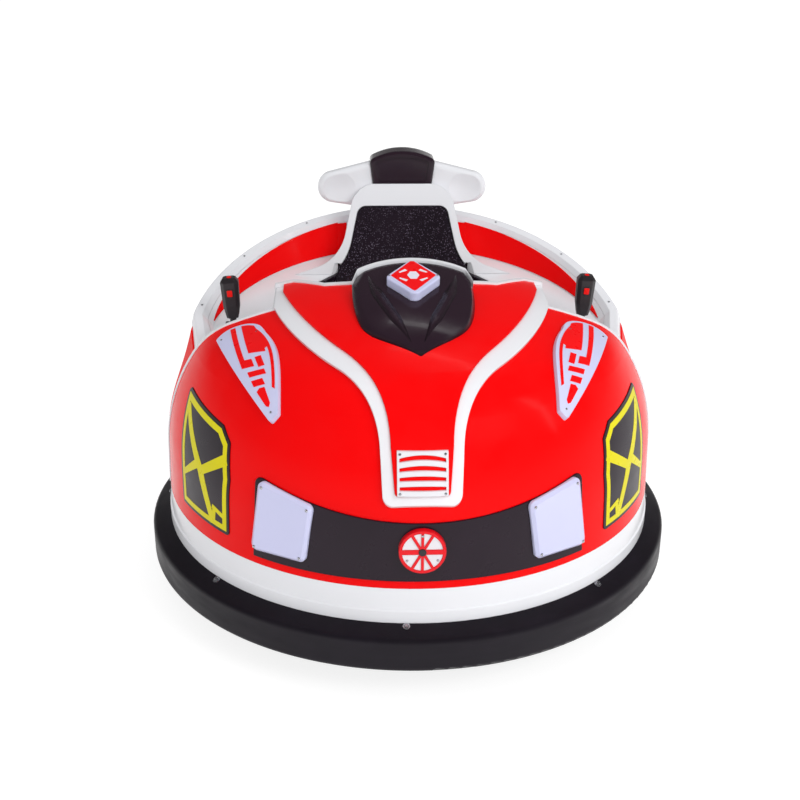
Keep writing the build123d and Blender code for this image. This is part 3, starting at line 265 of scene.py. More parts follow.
def satin(name, color, rough):
    """powder coat: fine peel, uneven gloss"""
    k = Look(name, color, rough)
    k.soften(0.0015)
    k.tint(6.0, change=0.10)
    k.gloss(24.0, change=0.05)
    k.bump(k.noise(500.0, 2.0), depth=0.00012, strength=0.5)
    return k


def metal(name, color, rough, spangle):
    """zinc or cast alloy: spangle or grain, fine scratches, dull patches"""
    k = Look(name, color, rough, Metallic=1.0)
    k.soften(0.0008)
    k.paint("Base Color", k.blend(k.any_cell(spangle), shade(color, 0.8), shade(color, 1.15)))
    k.gloss(60.0, change=0.1)
    k.bump(k.noise(40.0, 4.0, (1, 1, 12)), depth=0.0001, strength=0.4)
    return k


def film(name, color):
    """printed film: even colour with a slight texture of its own"""
    k = Look(name, color, 0.3, Coat_Weight=0.05, Specular_IOR_Level=0.12)
    k.tint(12.0, change=0.03)
    k.gloss(40.0, change=0.05)
    k.bump(k.noise(180.0, 2.0), depth=0.00008, strength=0.4)
    return k


def vinyl(name, color):
    """seat vinyl: leather-like grain, slight sheen"""
    k = Look(name, color, 0.42, Sheen_Weight=0.1)
    k.tint(9.0, change=0.15)
    k.gloss(30.0, change=0.06)
    k.bump(k.spread(k.cells(420.0, "DISTANCE_TO_EDGE"), 0, 1, 0.0, 0.12), depth=0.0002, strength=0.5)
    k.bump(k.noise(24.0), depth=0.001, strength=0.4)
    return k


def floor_rubber(name, color):
    """rubber of the foot mat: dull, with coarse grain and dusty fields"""
    k = Look(name, color, 0.7, Specular_IOR_Level=0.35)
    k.soften(0.001)
    k.tint(12.0, change=0.25, detail=4.0)
    k.gloss(30.0, change=0.08)
    k.bump(k.noise(300.0), depth=0.0004, strength=0.6)
    return k


def moulded(name, color, rough, grain):
    """moulded plastic or cast paint with a pebbled grain"""
    k = Look(name, color, rough)
    k.soften(0.003)
    k.tint(8.0, change=0.12)
    k.gloss(20.0, change=0.06)
    k.bump(k.cells(grain), depth=0.0003, strength=0.4)
    return k


RED = gelcoat("red_gelcoat", (0.90, 0.0008, 0.0016), 0.08)
WHITE = gelcoat("white_gelcoat", (0.82, 0.825, 0.86), 0.35)
POD = gloss_black("black_gloss", (0.024, 0.012, 0.020), 0.16, 0.014)
BAND = gloss_black("black_satin", (0.014, 0.006, 0.013), 0.30, 0.003)
FLECK = flecked("seat_black", (0.012, 0.006, 0.012), (0.46, 0.38, 0.52))
LENS = milky("milk_lens", (0.62, 0.63, 0.87))
RUBBER = rubber("bumper_rubber", (0.0095, 0.0070, 0.0115), 0.46)
TYRE = rubber("wheel_tyre", (0.03, 0.029, 0.029), 0.65)
MAT = floor_rubber("mat_rubber", (0.035, 0.034, 0.036))
ZINC = metal("zinc_steel", (0.56, 0.57, 0.60), 0.32, 90.0)
ALLOY = metal("hub_alloy", (0.50, 0.50, 0.52), 0.38, 260.0)
BRIGHT = metal("screw_steel", (0.62, 0.62, 0.66), 0.24, 700.0)
FRAME_PAINT = satin("chassis_paint", (0.05, 0.05, 0.055), 0.5)
MOTOR = moulded("motor_paint", (0.045, 0.046, 0.052), 0.45, 240.0)
CASE = moulded("battery_case", (0.10, 0.10, 0.11), 0.6, 320.0)
GRIP = moulded("grip_black", (0.020, 0.015, 0.018), 0.4, 500.0)
PLATE = gelcoat("white_plate", (0.78, 0.77, 0.81), 0.4)
DISC_RED = gelcoat("disc_red", (0.80, 0.004, 0.012), 0.25)
FILM_RED = film("film_red", (0.92, 0.001, 0.003))
FILM_YELLOW = film("film_yellow", (0.76, 0.68, 0.004))
FILM_WHITE = film("film_white", (0.78, 0.77, 0.85))
BUTTON = film("button_red", (0.80, 0.01, 0.008))
VINYL = vinyl("seat_vinyl", (0.050, 0.044, 0.052))
PIPING = vinyl("seat_piping", (0.60, 0.60, 0.63))

# The look of each slot of the record, and of two nodes that differ from their slot
slot_looks = {
    "red_gelcoat": RED, "white_gelcoat": WHITE, "black_gloss": POD, "black_satin": BAND, "milk_lens": LENS,
    "bumper_rubber": RUBBER, "seat_black": FLECK, "disc_face": DISC_RED, "white_plate": PLATE, "mat_rubber": MAT,
    "battery_case": CASE, "motor_paint": MOTOR, "zinc_steel": ZINC, "grip_black": GRIP, "hub_alloy": ALLOY,
    "wheel_tyre": TYRE, "chassis_paint": FRAME_PAINT,
}
node_looks = {"stick_bases": GRIP, "seat_box": FRAME_PAINT}
for part in frame["record"]["subparts"]:
    solid = NODES[part["node"]]
    solid.data.materials.clear()
    solid.data.materials.append(node_looks.get(part["node"], slot_looks[part["material_slot"]]).mat)


def recolour(node, look, chosen):
    """gives a second look to the faces of a node for which chosen(face) is true"""
    mesh = NODES[node].data
    mesh.materials.append(look.mat)
    for face in mesh.polygons:
        if chosen(face):
            face.material_index = len(mesh.materials) - 1


# Planes of the source, and rays from them to a node's surface


class Drawing:
    """a plane that looks outward; x and y in millimetres from its origin"""

    def __init__(self, origin, x_dir, z_dir):
        self.at = Vector(origin) * MM
        self.x, self.z = Vector(x_dir).normalized(), Vector(z_dir).normalized()
        self.y = self.z.cross(self.x)

    def point(self, x, y, z=0.0):
        return self.at + (self.x * x + self.y * y + self.z * z) * MM


def facing(azimuth, elevation, reach, rise):
    """a plane to the left of the front, at radius reach and a rise over the body's foot"""
    az, el = math.radians(azimuth), math.radians(elevation)
    return Drawing((-math.sin(az) * reach, -math.cos(az) * reach, BODY_Z + rise), (math.cos(az), -math.sin(az), 0),
                   (-math.sin(az) * math.cos(el), -math.cos(az) * math.cos(el), math.sin(el)))


LENS_PLANE = facing(LENS_AZ, LENS_EL, DOME_FOOT_R + BAND_PLATE_T + LENS_H, LENS_RISE)
DISC_PLANE = facing(0, DISC_TILT, DOME_FOOT_R + BAND_PLATE_T + DISC_H, DISC_RISE)
FIN_PLANE = facing(FIN_AZ, FIN_EL, 0, -BODY_Z)
SIDE_PLANE = facing(SIDE_AZ, 0, 0, 0)
FRONT = Drawing((0, 0, 0), (1, 0, 0), (0, -1, 0))
TOP = Drawing((0, 0, 0), (1, 0, 0), (0, 0, 1))
BELOW = Drawing((0, 0, 0), (1, 0, 0), (0, 0, -1))
LAMP_PLANE = Drawing((0, LAMP_Y, 0), (1, 0, 0), (0, 0, 1))
RAY_START = 1500
RAY_START_R = 0.9

trees = {}


def ray(node, start, direction):
    """where a ray first meets a node, and the direction that the surface faces there"""
    if node not in trees:
        mesh = NODES[node].data
        trees[node] = BVHTree.FromPolygons([v.co for v in mesh.vertices], [p.vertices for p in mesh.polygons])
    return trees[node].ray_cast(start, direction)[:2]


def drop(plane, x, y, node):
    """the outermost spot of a node under a plane's point"""
    return ray(node, plane.point(x, y, RAY_START), -plane.z)


def radial(turn, height, node):
    """the outermost spot of a node at a height; turn in degrees from the rear"""
    out = Vector((math.sin(math.radians(turn)), math.cos(math.radians(turn)), 0))
    return ray(node, out * RAY_START_R + UP * height * MM, -out)


def ring_spots(node, r, turns):
    """spots on a node, seen from above, on a circle about the axis; turns in degrees from +X"""
    return [drop(TOP, r * math.cos(math.radians(a)), r * math.sin(math.radians(a)), node) for a in turns]


# Meshes, each a list of points in metres and a list of faces


def piece(name, verts, faces, look, slot, body="root", smooth=True, sharp=35):
    mesh = bpy.data.meshes.new(name)
    mesh.from_pydata([tuple(v) for v in verts], [], faces)
    mesh.validate()
    mesh.materials.append(look.mat)
    for p in mesh.polygons:
        p.use_smooth = smooth
    if smooth:
        mesh.set_sharp_from_angle(angle=math.radians(sharp))
    o = bpy.data.objects.new(name, mesh)
    scene.collection.objects.link(o)
    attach(o, body)
    return o


def joined(*meshes):
    """several meshes as one"""
    verts, faces = [], []
    for v, f in meshes:
        faces += [tuple(i + len(verts) for i in face) for face in f]
        verts += v
    return verts, faces


def both(mesh):
    """a mesh of the left side and its mirror"""
    verts, faces = mesh
    return joined(mesh, ([Vector((-v.x, v.y, v.z)) for v in verts], [tuple(reversed(f)) for f in faces]))


def skin(rings, closed=False):
    """one surface over rings of equally many points; its ends are capped, or joined if it is closed"""
    count, n = len(rings), len(rings[0])
    faces = [(i * n + k, i * n + (k + 1) % n, (i + 1) % count * n + (k + 1) % n, (i + 1) % count * n + k)
             for i in range(count if closed else count - 1) for k in range(n)]
    if not closed:
        faces += [tuple(reversed(range(n))), tuple(range((count - 1) * n, count * n))]
    return [p for ring in rings for p in ring], faces


def steps(a, b, n):
    return [a + (b - a) * i / n for i in range(n + 1)]


def angles(n):
    return [2 * math.pi * i / n for i in range(n)]


def circle(at, x, y, r, n):
    """n points round a centre, in the plane of two directions; r in millimetres"""
    return [at + (x * math.cos(t) + y * math.sin(t)) * r * MM for t in angles(n)]


def ribbon(spots, section, taper=0):
    """a bead of a section in millimetres along spots; over a taper's count of spots it ends small and sunk"""
    rings, last = [], len(spots) - 1
    for i, (at, normal) in enumerate(spots):
        size = min(1.0, (i + 0.2) / taper, (last + 0.2 - i) / taper) if taper else 1.0
        along = (spots[min(i + 1, last)][0] - spots[max(i - 1, 0)][0]).normalized()
        across = normal.cross(along).normalized()
        rings.append([at + ((across * a + normal * h) * size - normal * (1 - size)) * MM for a, h in section])
    return skin(rings)


def tube(path, r, sides=8, closed=True):
    """a round bead along a path that isn't upright; r in millimetres"""
    rings, n = [], len(path)
    for i, p in enumerate(path):
        before, after = (i - 1, (i + 1) % n) if closed else (max(i - 1, 0), min(i + 1, n - 1))
        along = (path[after] - path[before]).normalized()
        across = along.cross(UP).normalized()
        rings.append(circle(p, across, along.cross(across), r, sides))
    return skin(rings, closed)


def block(spot, up, width, height, rise, corner):
    """a raised block with rounded corners and edges on a surface, in millimetres"""
    at, normal = spot
    z = normal.normalized()
    y = (up - z * up.dot(z)).normalized()
    x = y.cross(z)
    outline = [(sx * (width / 2 - corner) + corner * math.cos(math.radians(a)),
                sy * (height / 2 - corner) + corner * math.sin(math.radians(a)))
               for sx, sy, first in ((1, 1, 0), (-1, 1, 90), (-1, -1, 180), (1, -1, 270))
               for a in steps(first, first + 90, 4)]
    return skin([[at + ((x * px + y * py) * (1 - shrink) + z * h) * MM for px, py in outline]
                 for shrink, h in ((0, -0.8), (0, rise * 0.75), (0.06, rise * 0.93), (0.16, rise))])


# Flat designs, as closed outlines on a plane

SHARPEST = 0.3


def following(points):
    """each point of a closed outline with the next"""
    return zip(points, points[1:] + points[:1])


def runs_left(outline):
    return sum(a[0] * b[1] - b[0] * a[1] for a, b in following(outline)) > 0


def inset(outline, d):
    """a closed outline of straight sides moved in by d; a sharp corner moves by no more than d / SHARPEST"""
    way = 1 if runs_left(outline) else -1
    out = []
    for p, q, r in zip(outline[-1:] + outline[:-1], outline, outline[1:] + outline[:1]):
        u = Vector((q[0] - p[0], q[1] - p[1])).normalized()
        w = Vector((r[0] - q[0], r[1] - q[1])).normalized()
        nu, nw = Vector((-u.y, u.x)) * way, Vector((-w.y, w.x)) * way
        m = (nu + nw).normalized()
        out.append(tuple(Vector(q) + m * (d / max(m.dot(nu), SHARPEST))))
    return out


def border(outline, outer, inner):
    """four-sided fields between two insets of an outline"""
    sides = zip(following(inset(outline, outer)), following(inset(outline, inner)))
    return [[a, b, d, c] for (a, b), (c, d) in sides]


def bar(a, b, width, end_width):
    """a straight rib between two points"""
    d = (Vector(b) - Vector(a)).normalized()
    n = Vector((-d.y, d.x))
    return [tuple(Vector(p) + n * w / 2) for p, w in ((a, -width), (b, -end_width), (b, end_width), (a, width))]


def draped(plane, outlines, node, lift, thick=0.6, step=12.0):
    """outlines laid on a node's surface as a film; its top stands proud by lift, and it bends every step"""
    bm = bmesh.new()
    for outline in outlines:
        bm.faces.new([bm.verts.new((x, y, 0)) for x, y in (outline if runs_left(outline) else outline[::-1])])
    bmesh.ops.remove_doubles(bm, verts=bm.verts[:], dist=1e-3)
    bmesh.ops.triangulate(bm, faces=bm.faces[:], ngon_method="BEAUTY")
    for axis in (0, 1):
        values = [v.co[axis] for v in bm.verts]
        for k in range(math.ceil(min(values) / step), math.ceil(max(values) / step)):
            co, no = Vector((0, 0, 0)), Vector((0, 0, 0))
            co[axis], no[axis] = k * step, 1.0
            bmesh.ops.bisect_plane(bm, geom=bm.verts[:] + bm.edges[:] + bm.faces[:], dist=1e-4, plane_co=co,
                                   plane_no=no)
    bmesh.ops.triangulate(bm, faces=[f for f in bm.faces if len(f.verts) > 4])
    bm.verts.index_update()
    spots = [drop(plane, v.co.x, v.co.y, node) for v in bm.verts]
    top = [at + normal * lift * MM for at, normal in spots]
    low = [at - normal * (thick - lift) * MM for at, normal in spots]
    n = len(spots)
    faces = [tuple(v.index for v in f.verts) for f in bm.faces]
    walls = []
    for e in bm.edges:
        if len(e.link_faces) == 1:
            loop = [x for x in e.link_faces[0].loops if x.edge == e][0]
            a, b = loop.vert.index, loop.link_loop_next.vert.index
            walls.append((b, a, a + n, b + n))
    bm.free()
    return top + low, faces + [tuple(i + n for i in reversed(f)) for f in faces] + walls


# Screws and bolts

# Rings of a screw head over its foot: shares of its radius and height, and whether it follows the hexagon recess
HEAD_RINGS = [(1, 0.22, False), (0.93, 0.55, False), (0.75, 0.86, False), (0.56, 1, False), (0.46, 0.99, True),
              (0.42, 0.45, True)]
HEAD_SIDES, HEAD_SINK, HEAD_TURN = 20, 0.4, 0.7
# Rings of a bolt: corners, then shares of the head's radius and height
WASHER = 24, [(1.5, -0.06), (1.5, 0.2), (1.44, 0.25)]
HEXAGON = 6, [(1.0, 0.25), (1.0, 0.9), (0.88, 1.0)]


def axes(normal, turn=0.0):
    """two directions along a surface, and its normal"""
    z = normal.normalized()
    x = Matrix.Rotation(turn, 3, z) @ z.orthogonal().normalized()
    return x, z.cross(x), z


def head(spot, r, h, turn=0.0):
    """a domed head with a hexagon recess on a surface; radius and height in millimetres"""
    at, normal = spot
    x, y, z = axes(normal, turn)
    rings = []
    for share, up, hexed in [(1, -HEAD_SINK / h, False)] + HEAD_RINGS:
        rings.append([])
        for t in angles(HEAD_SIDES):
            reach = share * r
            if hexed:
                reach *= math.cos(math.pi / 6) / math.cos(t % (math.pi / 3) - math.pi / 6)
            rings[-1].append(at + ((x * math.cos(t) + y * math.sin(t)) * reach + z * up * h) * MM)
    return skin(rings)


def bolt(spot, r, h):
    """a hexagon head on its washer"""
    at, normal = spot
    x, y, z = axes(normal)
    return joined(*[skin([circle(at + z * up * h * MM, x, y, share * r, n) for share, up in rings])
                    for n, rings in (WASHER, HEXAGON)])


def screws(name, spots, r, h, look=BRIGHT, mirrored=False):
    mesh = joined(*[head(spot, r, h, HEAD_TURN * k) for k, spot in enumerate(spots)])
    piece(name, *(both(mesh) if mirrored else mesh), look, "zinc_steel")


def bolts(name, spots, r, h, look=ZINC, body="root"):
    piece(name, *joined(*[bolt(spot, r, h) for spot in spots]), look, "zinc_steel", body)


LENS_SCREWS = [(-47, 77), (65, 51), (49, -64), (-65, -65)]
DISC_SCREWS = [(0, 37.5), (-32, -20), (32, -20)]
GRILLE_SCREWS = [(x, GRILLE_LOW + rise) for x in (6 - GRILLE_HALF, GRILLE_HALF - 6) for rise in (5, GRILLE_H - 6)]
BUMPER_BOLT_R, BUMPER_BOLT_TURNS = 612, [45 * k - 93 for k in range(8)]
RIM_SCREW_TURNS = (15, 38, 61, 119, 142, 165)

screws("headlamp_screws", [drop(LENS_PLANE, x, y, "headlamps") for x, y in LENS_SCREWS], 3.6, 1.8, mirrored=True)
screws("disc_screws", [drop(DISC_PLANE, x, y, "disc_lamp") for x, y in DISC_SCREWS], 3.0, 1.6)
screws("grille_screws", [drop(FRONT, x, z, "grille_plate") for x, z in GRILLE_SCREWS], 3.1, 1.6)
bolts("bumper_bolts", ring_spots("bumper_ring", BUMPER_BOLT_R, BUMPER_BOLT_TURNS), 5.5, 5.0, BRIGHT)
screws("rim_screws", ring_spots("rim_trim", RIM_MID_R, RIM_SCREW_TURNS), 2.8, 1.2, ZINC)

# Fin lamps: red stripes along the lamp, screws at its corners. On a fin, u runs from the wide end to the tip and
# v across to the curved inner edge.
FIN_END, FIN_ALONG, FIN_ACROSS = (-110, 114), (0.885, -0.465), (0.465, 0.885)
FIN_EDGE, FIN_EDGE_R = (113.3, -236.4), 303.9
FIN_NOSE, FIN_NOSE_R = (26.8, -13.4), 68.5
# How far in from the edge the stripes begin, the line ends and the block ends, and how far in from the nose
FIN_MARGIN, FIN_LINE_IN, FIN_BLOCK_IN, FIN_NOSE_IN = 8, 15, 21, 7
FIN_BARS = [[(120, 20), (156, 20), (160, 34), (124, 34)], [(152, -8), (168, -8), (186, 30), (170, 30)],
            [(180, -8), (198, -8), (210, 18), (192, 18)],
            [(216, 14), (210, 2), (214, -7), (256, -3), (262, 2), (256, 9)]]
FIN_LIFT, FIN_FILM_T = 0.9, 1.6
FIN_SCREWS = [(-14, -42), (274, 0), (22, 40)]


def fin(u, v):
    return FIN_END[0] + u * FIN_ALONG[0] + v * FIN_ACROSS[0], FIN_END[1] + u * FIN_ALONG[1] + v * FIN_ACROSS[1]


def along_edge(a, b, n, d):
    """points along the curved inner edge moved in by d"""
    return [(u, FIN_EDGE[1] + math.sqrt((FIN_EDGE_R - d) ** 2 - (u - FIN_EDGE[0]) ** 2)) for u in steps(a, b, n)]


def along_nose(a, b, n):
    """points along the round wide end"""
    reach = FIN_NOSE_R - FIN_NOSE_IN
    return [(FIN_NOSE[0] - math.sqrt(reach ** 2 - (v - FIN_NOSE[1]) ** 2), v) for v in steps(a, b, n)]


def fin_shapes():
    """a line along the inner edge, which widens to a block at the nose, a rail beside it, and four short bars"""
    line = along_edge(100, 236, 12, FIN_MARGIN) + along_edge(228, 100, 12, FIN_LINE_IN)
    block = along_edge(10, 100, 8, FIN_MARGIN) + line[-1:] + along_edge(104, 116, 2, FIN_BLOCK_IN)
    block += [(96, 10)] + along_nose(10, 38, 6)
    rail = along_nose(-16, -4, 3) + [(112, -4), (120, 12), (146, 12), (132, -16)]
    return [[fin(u, v) for u, v in shape] for shape in [line, block, rail] + FIN_BARS]


fin_stripes = draped(FIN_PLANE, fin_shapes(), "fin_lamps", FIN_LIFT, FIN_FILM_T)
piece("fin_stripes", *both(fin_stripes), FILM_RED, "red_gelcoat", smooth=False)
screws("fin_screws", [drop(FIN_PLANE, *fin(u, v), "fin_lamps") for u, v in FIN_SCREWS], 2.8, 1.4, mirrored=True)

# Side panels: yellow border on the black ground, and ribs that overlap, each a little higher than the last
SIDE_BORDER = (8, 21)
SIDE_KNOT = (26, 160)
SIDE_RIBS = [((-84, 276), SIDE_KNOT, 15, 24), ((114, 216), SIDE_KNOT, 26, 20), ((76, 50), SIDE_KNOT, 18, 24),
             ((-60, 122), (16, 176), 12, 22), ((74, 92), (118, 78), 11, 11), ((78, 56), (82, 92), 12, 12)]
SIDE_BORDER_LIFT, SIDE_RIB_LIFT, SIDE_RIB_STEP = 0.5, 0.40, 0.02

side_border = draped(SIDE_PLANE, border(SIDE_OUTLINE, *SIDE_BORDER), "side_panels", SIDE_BORDER_LIFT)
side_ribs = joined(*[draped(SIDE_PLANE, [bar(*rib)], "side_panels", SIDE_RIB_LIFT + SIDE_RIB_STEP * i)
                     for i, rib in enumerate(SIDE_RIBS)])
piece("side_borders", *both(side_border), FILM_YELLOW, "white_plate")
piece("side_ribs", *both(side_ribs), FILM_YELLOW, "white_plate")

# Console lamp: red rhombus with cut corners, on it a hexagon and four darts
LAMP_MARGIN, LAMP_CUT_IN, LAMP_CUT_HALF = 2.5, 5, 4
LAMP_HEXAGON = (14, 19)
LAMP_DART = [(13, 21), (30, 11), (33, 14), (18, 28)]
LAMP_RHOMBUS_LIFT, LAMP_MARKS_LIFT, LAMP_FILM_T = 0.4, 0.75, 0.9
LAMP_SCREW_X = 55


def lamp_rhombus():
    outline = []
    for corner in ((LAMP_HALF_X, 0), (0, LAMP_HALF_Y), (-LAMP_HALF_X, 0), (0, -LAMP_HALF_Y)):
        tip = Vector(corner)
        out = tip.normalized()
        side = Vector((-out.y, out.x))
        for back, aside in ((LAMP_CUT_IN, -LAMP_CUT_HALF), (LAMP_MARGIN, 0), (LAMP_CUT_IN, LAMP_CUT_HALF)):
            outline.append(tuple(tip - out * back + side * aside))
    return outline


hexagon = [(LAMP_HEXAGON[0] * math.cos(t), LAMP_HEXAGON[1] * math.sin(t)) for t in angles(6)]
darts = [[(sx * x, sy * y) for x, y in LAMP_DART] for sx in (-1, 1) for sy in (-1, 1)]
for name, outlines, lift, look, slot in (
        ("console_rhombus", [lamp_rhombus()], LAMP_RHOMBUS_LIFT, FILM_RED, "red_gelcoat"),
        ("console_marks", [hexagon] + darts, LAMP_MARKS_LIFT, FILM_WHITE, "white_plate")):
    piece(name, *draped(LAMP_PLANE, outlines, "console_lamp", lift, LAMP_FILM_T), look, slot)
screws("console_screws", [drop(LAMP_PLANE, s * LAMP_SCREW_X, 0, "console_lamp") for s in (-1, 1)], 2.6, 1.3, ZINC)

# Disc lamp: white ground, red relief, black hub, by the depth of each face and its distance from the middle
DISC_HUB_R, DISC_GROUND_R = 10, 44


def disc_place(face):
    off = face.center - DISC_PLANE.at
    depth = off.dot(DISC_PLANE.z)
    return depth / MM, (off - DISC_PLANE.z * depth).length / MM


def disc_ground(face):
    depth, reach = disc_place(face)
    return abs(depth) < 0.1 and face.normal.dot(DISC_PLANE.z) > 0.9 and reach < DISC_GROUND_R


def disc_hub(face):
    depth, reach = disc_place(face)
    return depth > DISC_RELIEF + 0.1 and reach < DISC_HUB_R


recolour("disc_lamp", PLATE, disc_ground)
recolour("disc_lamp", GRIP, disc_hub)

# Rear edge of the hood: white lip beside the horns, white flanks of the horns; red ends of the inner panels behind
# the seat frame, whose foot is flecked like the lining
LIP = [(-6, -1), (6, -1), (6, 1.2), (4.6, 2.5), (0, 3.1), (-4.6, 2.5), (-6, 1.2)]
LIP_BACK, LIP_SHORT = 6.5, 16
PANEL_END, PANEL_END_LIFT, PANEL_END_T = [(-178.5, 690), (-152, 690), (-152, 766), (-178.5, 763)], 2.8, 3.2
HORN_ROOT_X = 250
FRAME_FOOT_Z = 678.5


def lip_spots():
    """spots along the hood's rear edge, from the skirt up to the horn"""
    spots = []
    for turn in steps(1.0, 55.0, 54):
        out = Vector((-math.cos(math.radians(turn)), 0, math.sin(math.radians(turn))))
        foot = Vector((0, SPLIT_Y - LIP_BACK, BODY_Z)) * MM
        at, normal = ray("hood_shell", foot + out * RAY_START_R, -out)
        if at and at.x < -(HORN_X - LIP_SHORT) * MM:
            spots.append((at, normal))
    return spots


def horn_flank(face):
    points = NODES["hood_shell"].data.vertices
    return (abs(face.center.x) > HORN_ROOT_X * MM and face.center.y > (SPLIT_Y + 2) * MM
            and all(points[i].co.y > (SPLIT_Y - 1) * MM for i in face.vertices)
            and (abs(face.normal.x) > 0.9 or face.normal.z > 0.5))


piece("hood_lip", *both(ribbon(lip_spots(), LIP)), WHITE, "white_gelcoat")
panel_end = draped(FRONT, [PANEL_END], "cockpit_tub", PANEL_END_LIFT, PANEL_END_T)
piece("inner_panel_ends", *both(panel_end), RED, "red_gelcoat")
recolour("hood_shell", WHITE, horn_flank)
recolour("seat_frame", FLECK, lambda face: face.center.z < FRAME_FOOT_Z * MM and face.normal.y < -0.99)

# Console pod: a soft crease on each side, from its tip towards its rear corners
CREASE = [(-14, -1.4), (14, -1.4), (14, -0.1), (8, 1.0), (3, 2.6), (0, 3.0), (-3, 2.6), (-8, 1.0), (-14, -0.1)]
CREASE_X, CREASE_BEND, CREASE_TAPER = 105, 1.4, 14


def crease_spots():
    spots = []
    for share in steps(0.075, 0.895, 40):
        x = -CREASE_X * math.sin(math.pi / 2 * share / 0.95) ** CREASE_BEND
        y = POD_TIP_Y + share * POD_LENGTH
        out = Vector((x, y - POD_BALL_Y, POD_BALL_R)).normalized()
        spots.append((drop(TOP, x, y, "console_pod")[0], out))
    return spots


piece("pod_creases", *both(ribbon(crease_spots(), CREASE, CREASE_TAPER)), POD, "black_gloss", sharp=80)

# Rear shell: screws along its foot
SHELL_SCREW_RISE, SHELL_SCREW_TURNS = 13, (-80, -55, -30, 30, 55, 80)
shell_spots = [radial(turn, BODY_Z + SHELL_SCREW_RISE, "rear_shell") for turn in SHELL_SCREW_TURNS]
screws("shell_screws", shell_spots, 3.4, 1.8)

# Seat cushion, in metres apart from the piping: a crowned pad with sewn channels. Its half width is even in front
# and shrinks along two straight stretches to the back.
CUSHION_SIDE = [(0.150, 0.2785), (0.280, 0.2565), (0.374, 0.1645)]
CUSHION_ROWS, CUSHION_COLS = 56, 72
CUSHION_FRONT_GAP, CUSHION_BACK_GAP = 0.002, 0.010
CUSHION_MERGE = 0.0004
CUSHION_SEAM_RISE, CUSHION_CROWN, CUSHION_BELLY = 0.015, 0.026, 0.0148
CUSHION_PULL, CUSHION_BOW, CUSHION_WAIST = 0.004, 0.004, 0.010
CHANNEL_X, CHANNEL_X_DEEP = 0.105, 0.009
CHANNEL_Y, CHANNEL_Y_DEEP = 0.235, 0.008
CHANNEL_HALF = 0.007
PIPING_R, PIPING_STEP = 2.6, 0.002
cushion_low, cushion_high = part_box("seat_cushion")


def cushion_half(y):
    if y < CUSHION_SIDE[0][0]:
        return CUSHION_SIDE[0][1]
    (y0, x0), (y1, x1) = CUSHION_SIDE[:2] if y < CUSHION_SIDE[1][0] else CUSHION_SIDE[1:]
    return x0 + (x1 - x0) * (y - y0) / (y1 - y0)


def channel(off):
    """how deep a sewn channel is at a distance from its middle, as a share"""
    return math.exp(-(off / CHANNEL_HALF) ** 2)


def cushion_point(row, col, top):
    """a point of the top or the underside; rows run from front to back, and all sides end in the seam"""
    front, back = cushion_low[1] + CUSHION_FRONT_GAP, cushion_high[1] - CUSHION_BACK_GAP
    t, s = (math.sin((-1 + 2 * k / n) * math.pi / 2) for k, n in ((row, CUSHION_ROWS), (col, CUSHION_COLS)))
    swell = math.prod((1 - min(abs(k), 1) ** 5) ** 0.5 for k in (t, s))
    y = front + (back - front) * (t + 1) / 2
    x = cushion_half(y) * s * (1 - CUSHION_WAIST * (1 - t * t))
    y += CUSHION_BOW * (1 - s * s) * (1 if t < 0 else -1) * abs(t) ** 6
    z = cushion_low[2] + CUSHION_SEAM_RISE
    if top:
        z += CUSHION_CROWN * swell + CUSHION_PULL * (1 - abs(s) ** 8) * (1 - abs(t) ** 8)
        z -= CHANNEL_X_DEEP * (channel(x - CHANNEL_X) + channel(x + CHANNEL_X)) * swell
        z -= CHANNEL_Y_DEEP * channel(y - CHANNEL_Y) * swell
    else:
        z -= CUSHION_BELLY * min(1.0, 3 * swell)
    return Vector((x, y, z))


def cushion():
    rows, cols = CUSHION_ROWS, CUSHION_COLS
    verts = [cushion_point(i, j, top) for top in (True, False) for i in range(rows + 1) for j in range(cols + 1)]
    below = (rows + 1) * (cols + 1)
    faces = []
    for i in range(rows):
        for j in range(cols):
            a = i * (cols + 1) + j
            b = a + cols + 1
            faces += [(a, a + 1, b + 1, b), (below + b, below + b + 1, below + a + 1, below + a)]
    pad = piece("cushion_pad", verts, faces, VINYL, "seat_black", sharp=60)
    bm = bmesh.new()
    bm.from_mesh(pad.data)
    bmesh.ops.remove_doubles(bm, verts=bm.verts[:], dist=CUSHION_MERGE)
    bm.to_mesh(pad.data)
    bm.free()
    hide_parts("seat_cushion")


def seam_path():
    """the seam round the cushion, without points that lie too close together for the piping"""
    rows, cols = CUSHION_ROWS, CUSHION_COLS
    places = [(0, j) for j in range(cols + 1)] + [(i, cols) for i in range(1, rows + 1)]
    places += [(rows, j) for j in range(cols - 1, -1, -1)] + [(i, 0) for i in range(rows - 1, 0, -1)]
    path = [cushion_point(i, j, True) for i, j in places]
    return [p for i, p in enumerate(path) if (p - path[i - 1]).length > PIPING_STEP]


cushion()
piece("cushion_piping", *tube(seam_path(), PIPING_R), PIPING, "seat_black")

# Sticks: red press buttons and mould seams of the grips, screws of the bases; heights above the pivot
BUTTON_RISE, BUTTON_SIZE, BUTTON_FRAME = 92, (13, 16, 3.2, 2.0), (17, 20, 1.2, 1.5)
TOP_BUTTON_RISE, TOP_BUTTON_BACK, TOP_BUTTON_R, TOP_BUTTON_H = 128, 2, 6.0, 3.0
SEAM_FROM, SEAM_TO, SEAM_LIFT, SEAM_R = 34, 120, 0.1, 0.7
BASE_SCREW_X, BASE_SCREW_Y = 25, 38


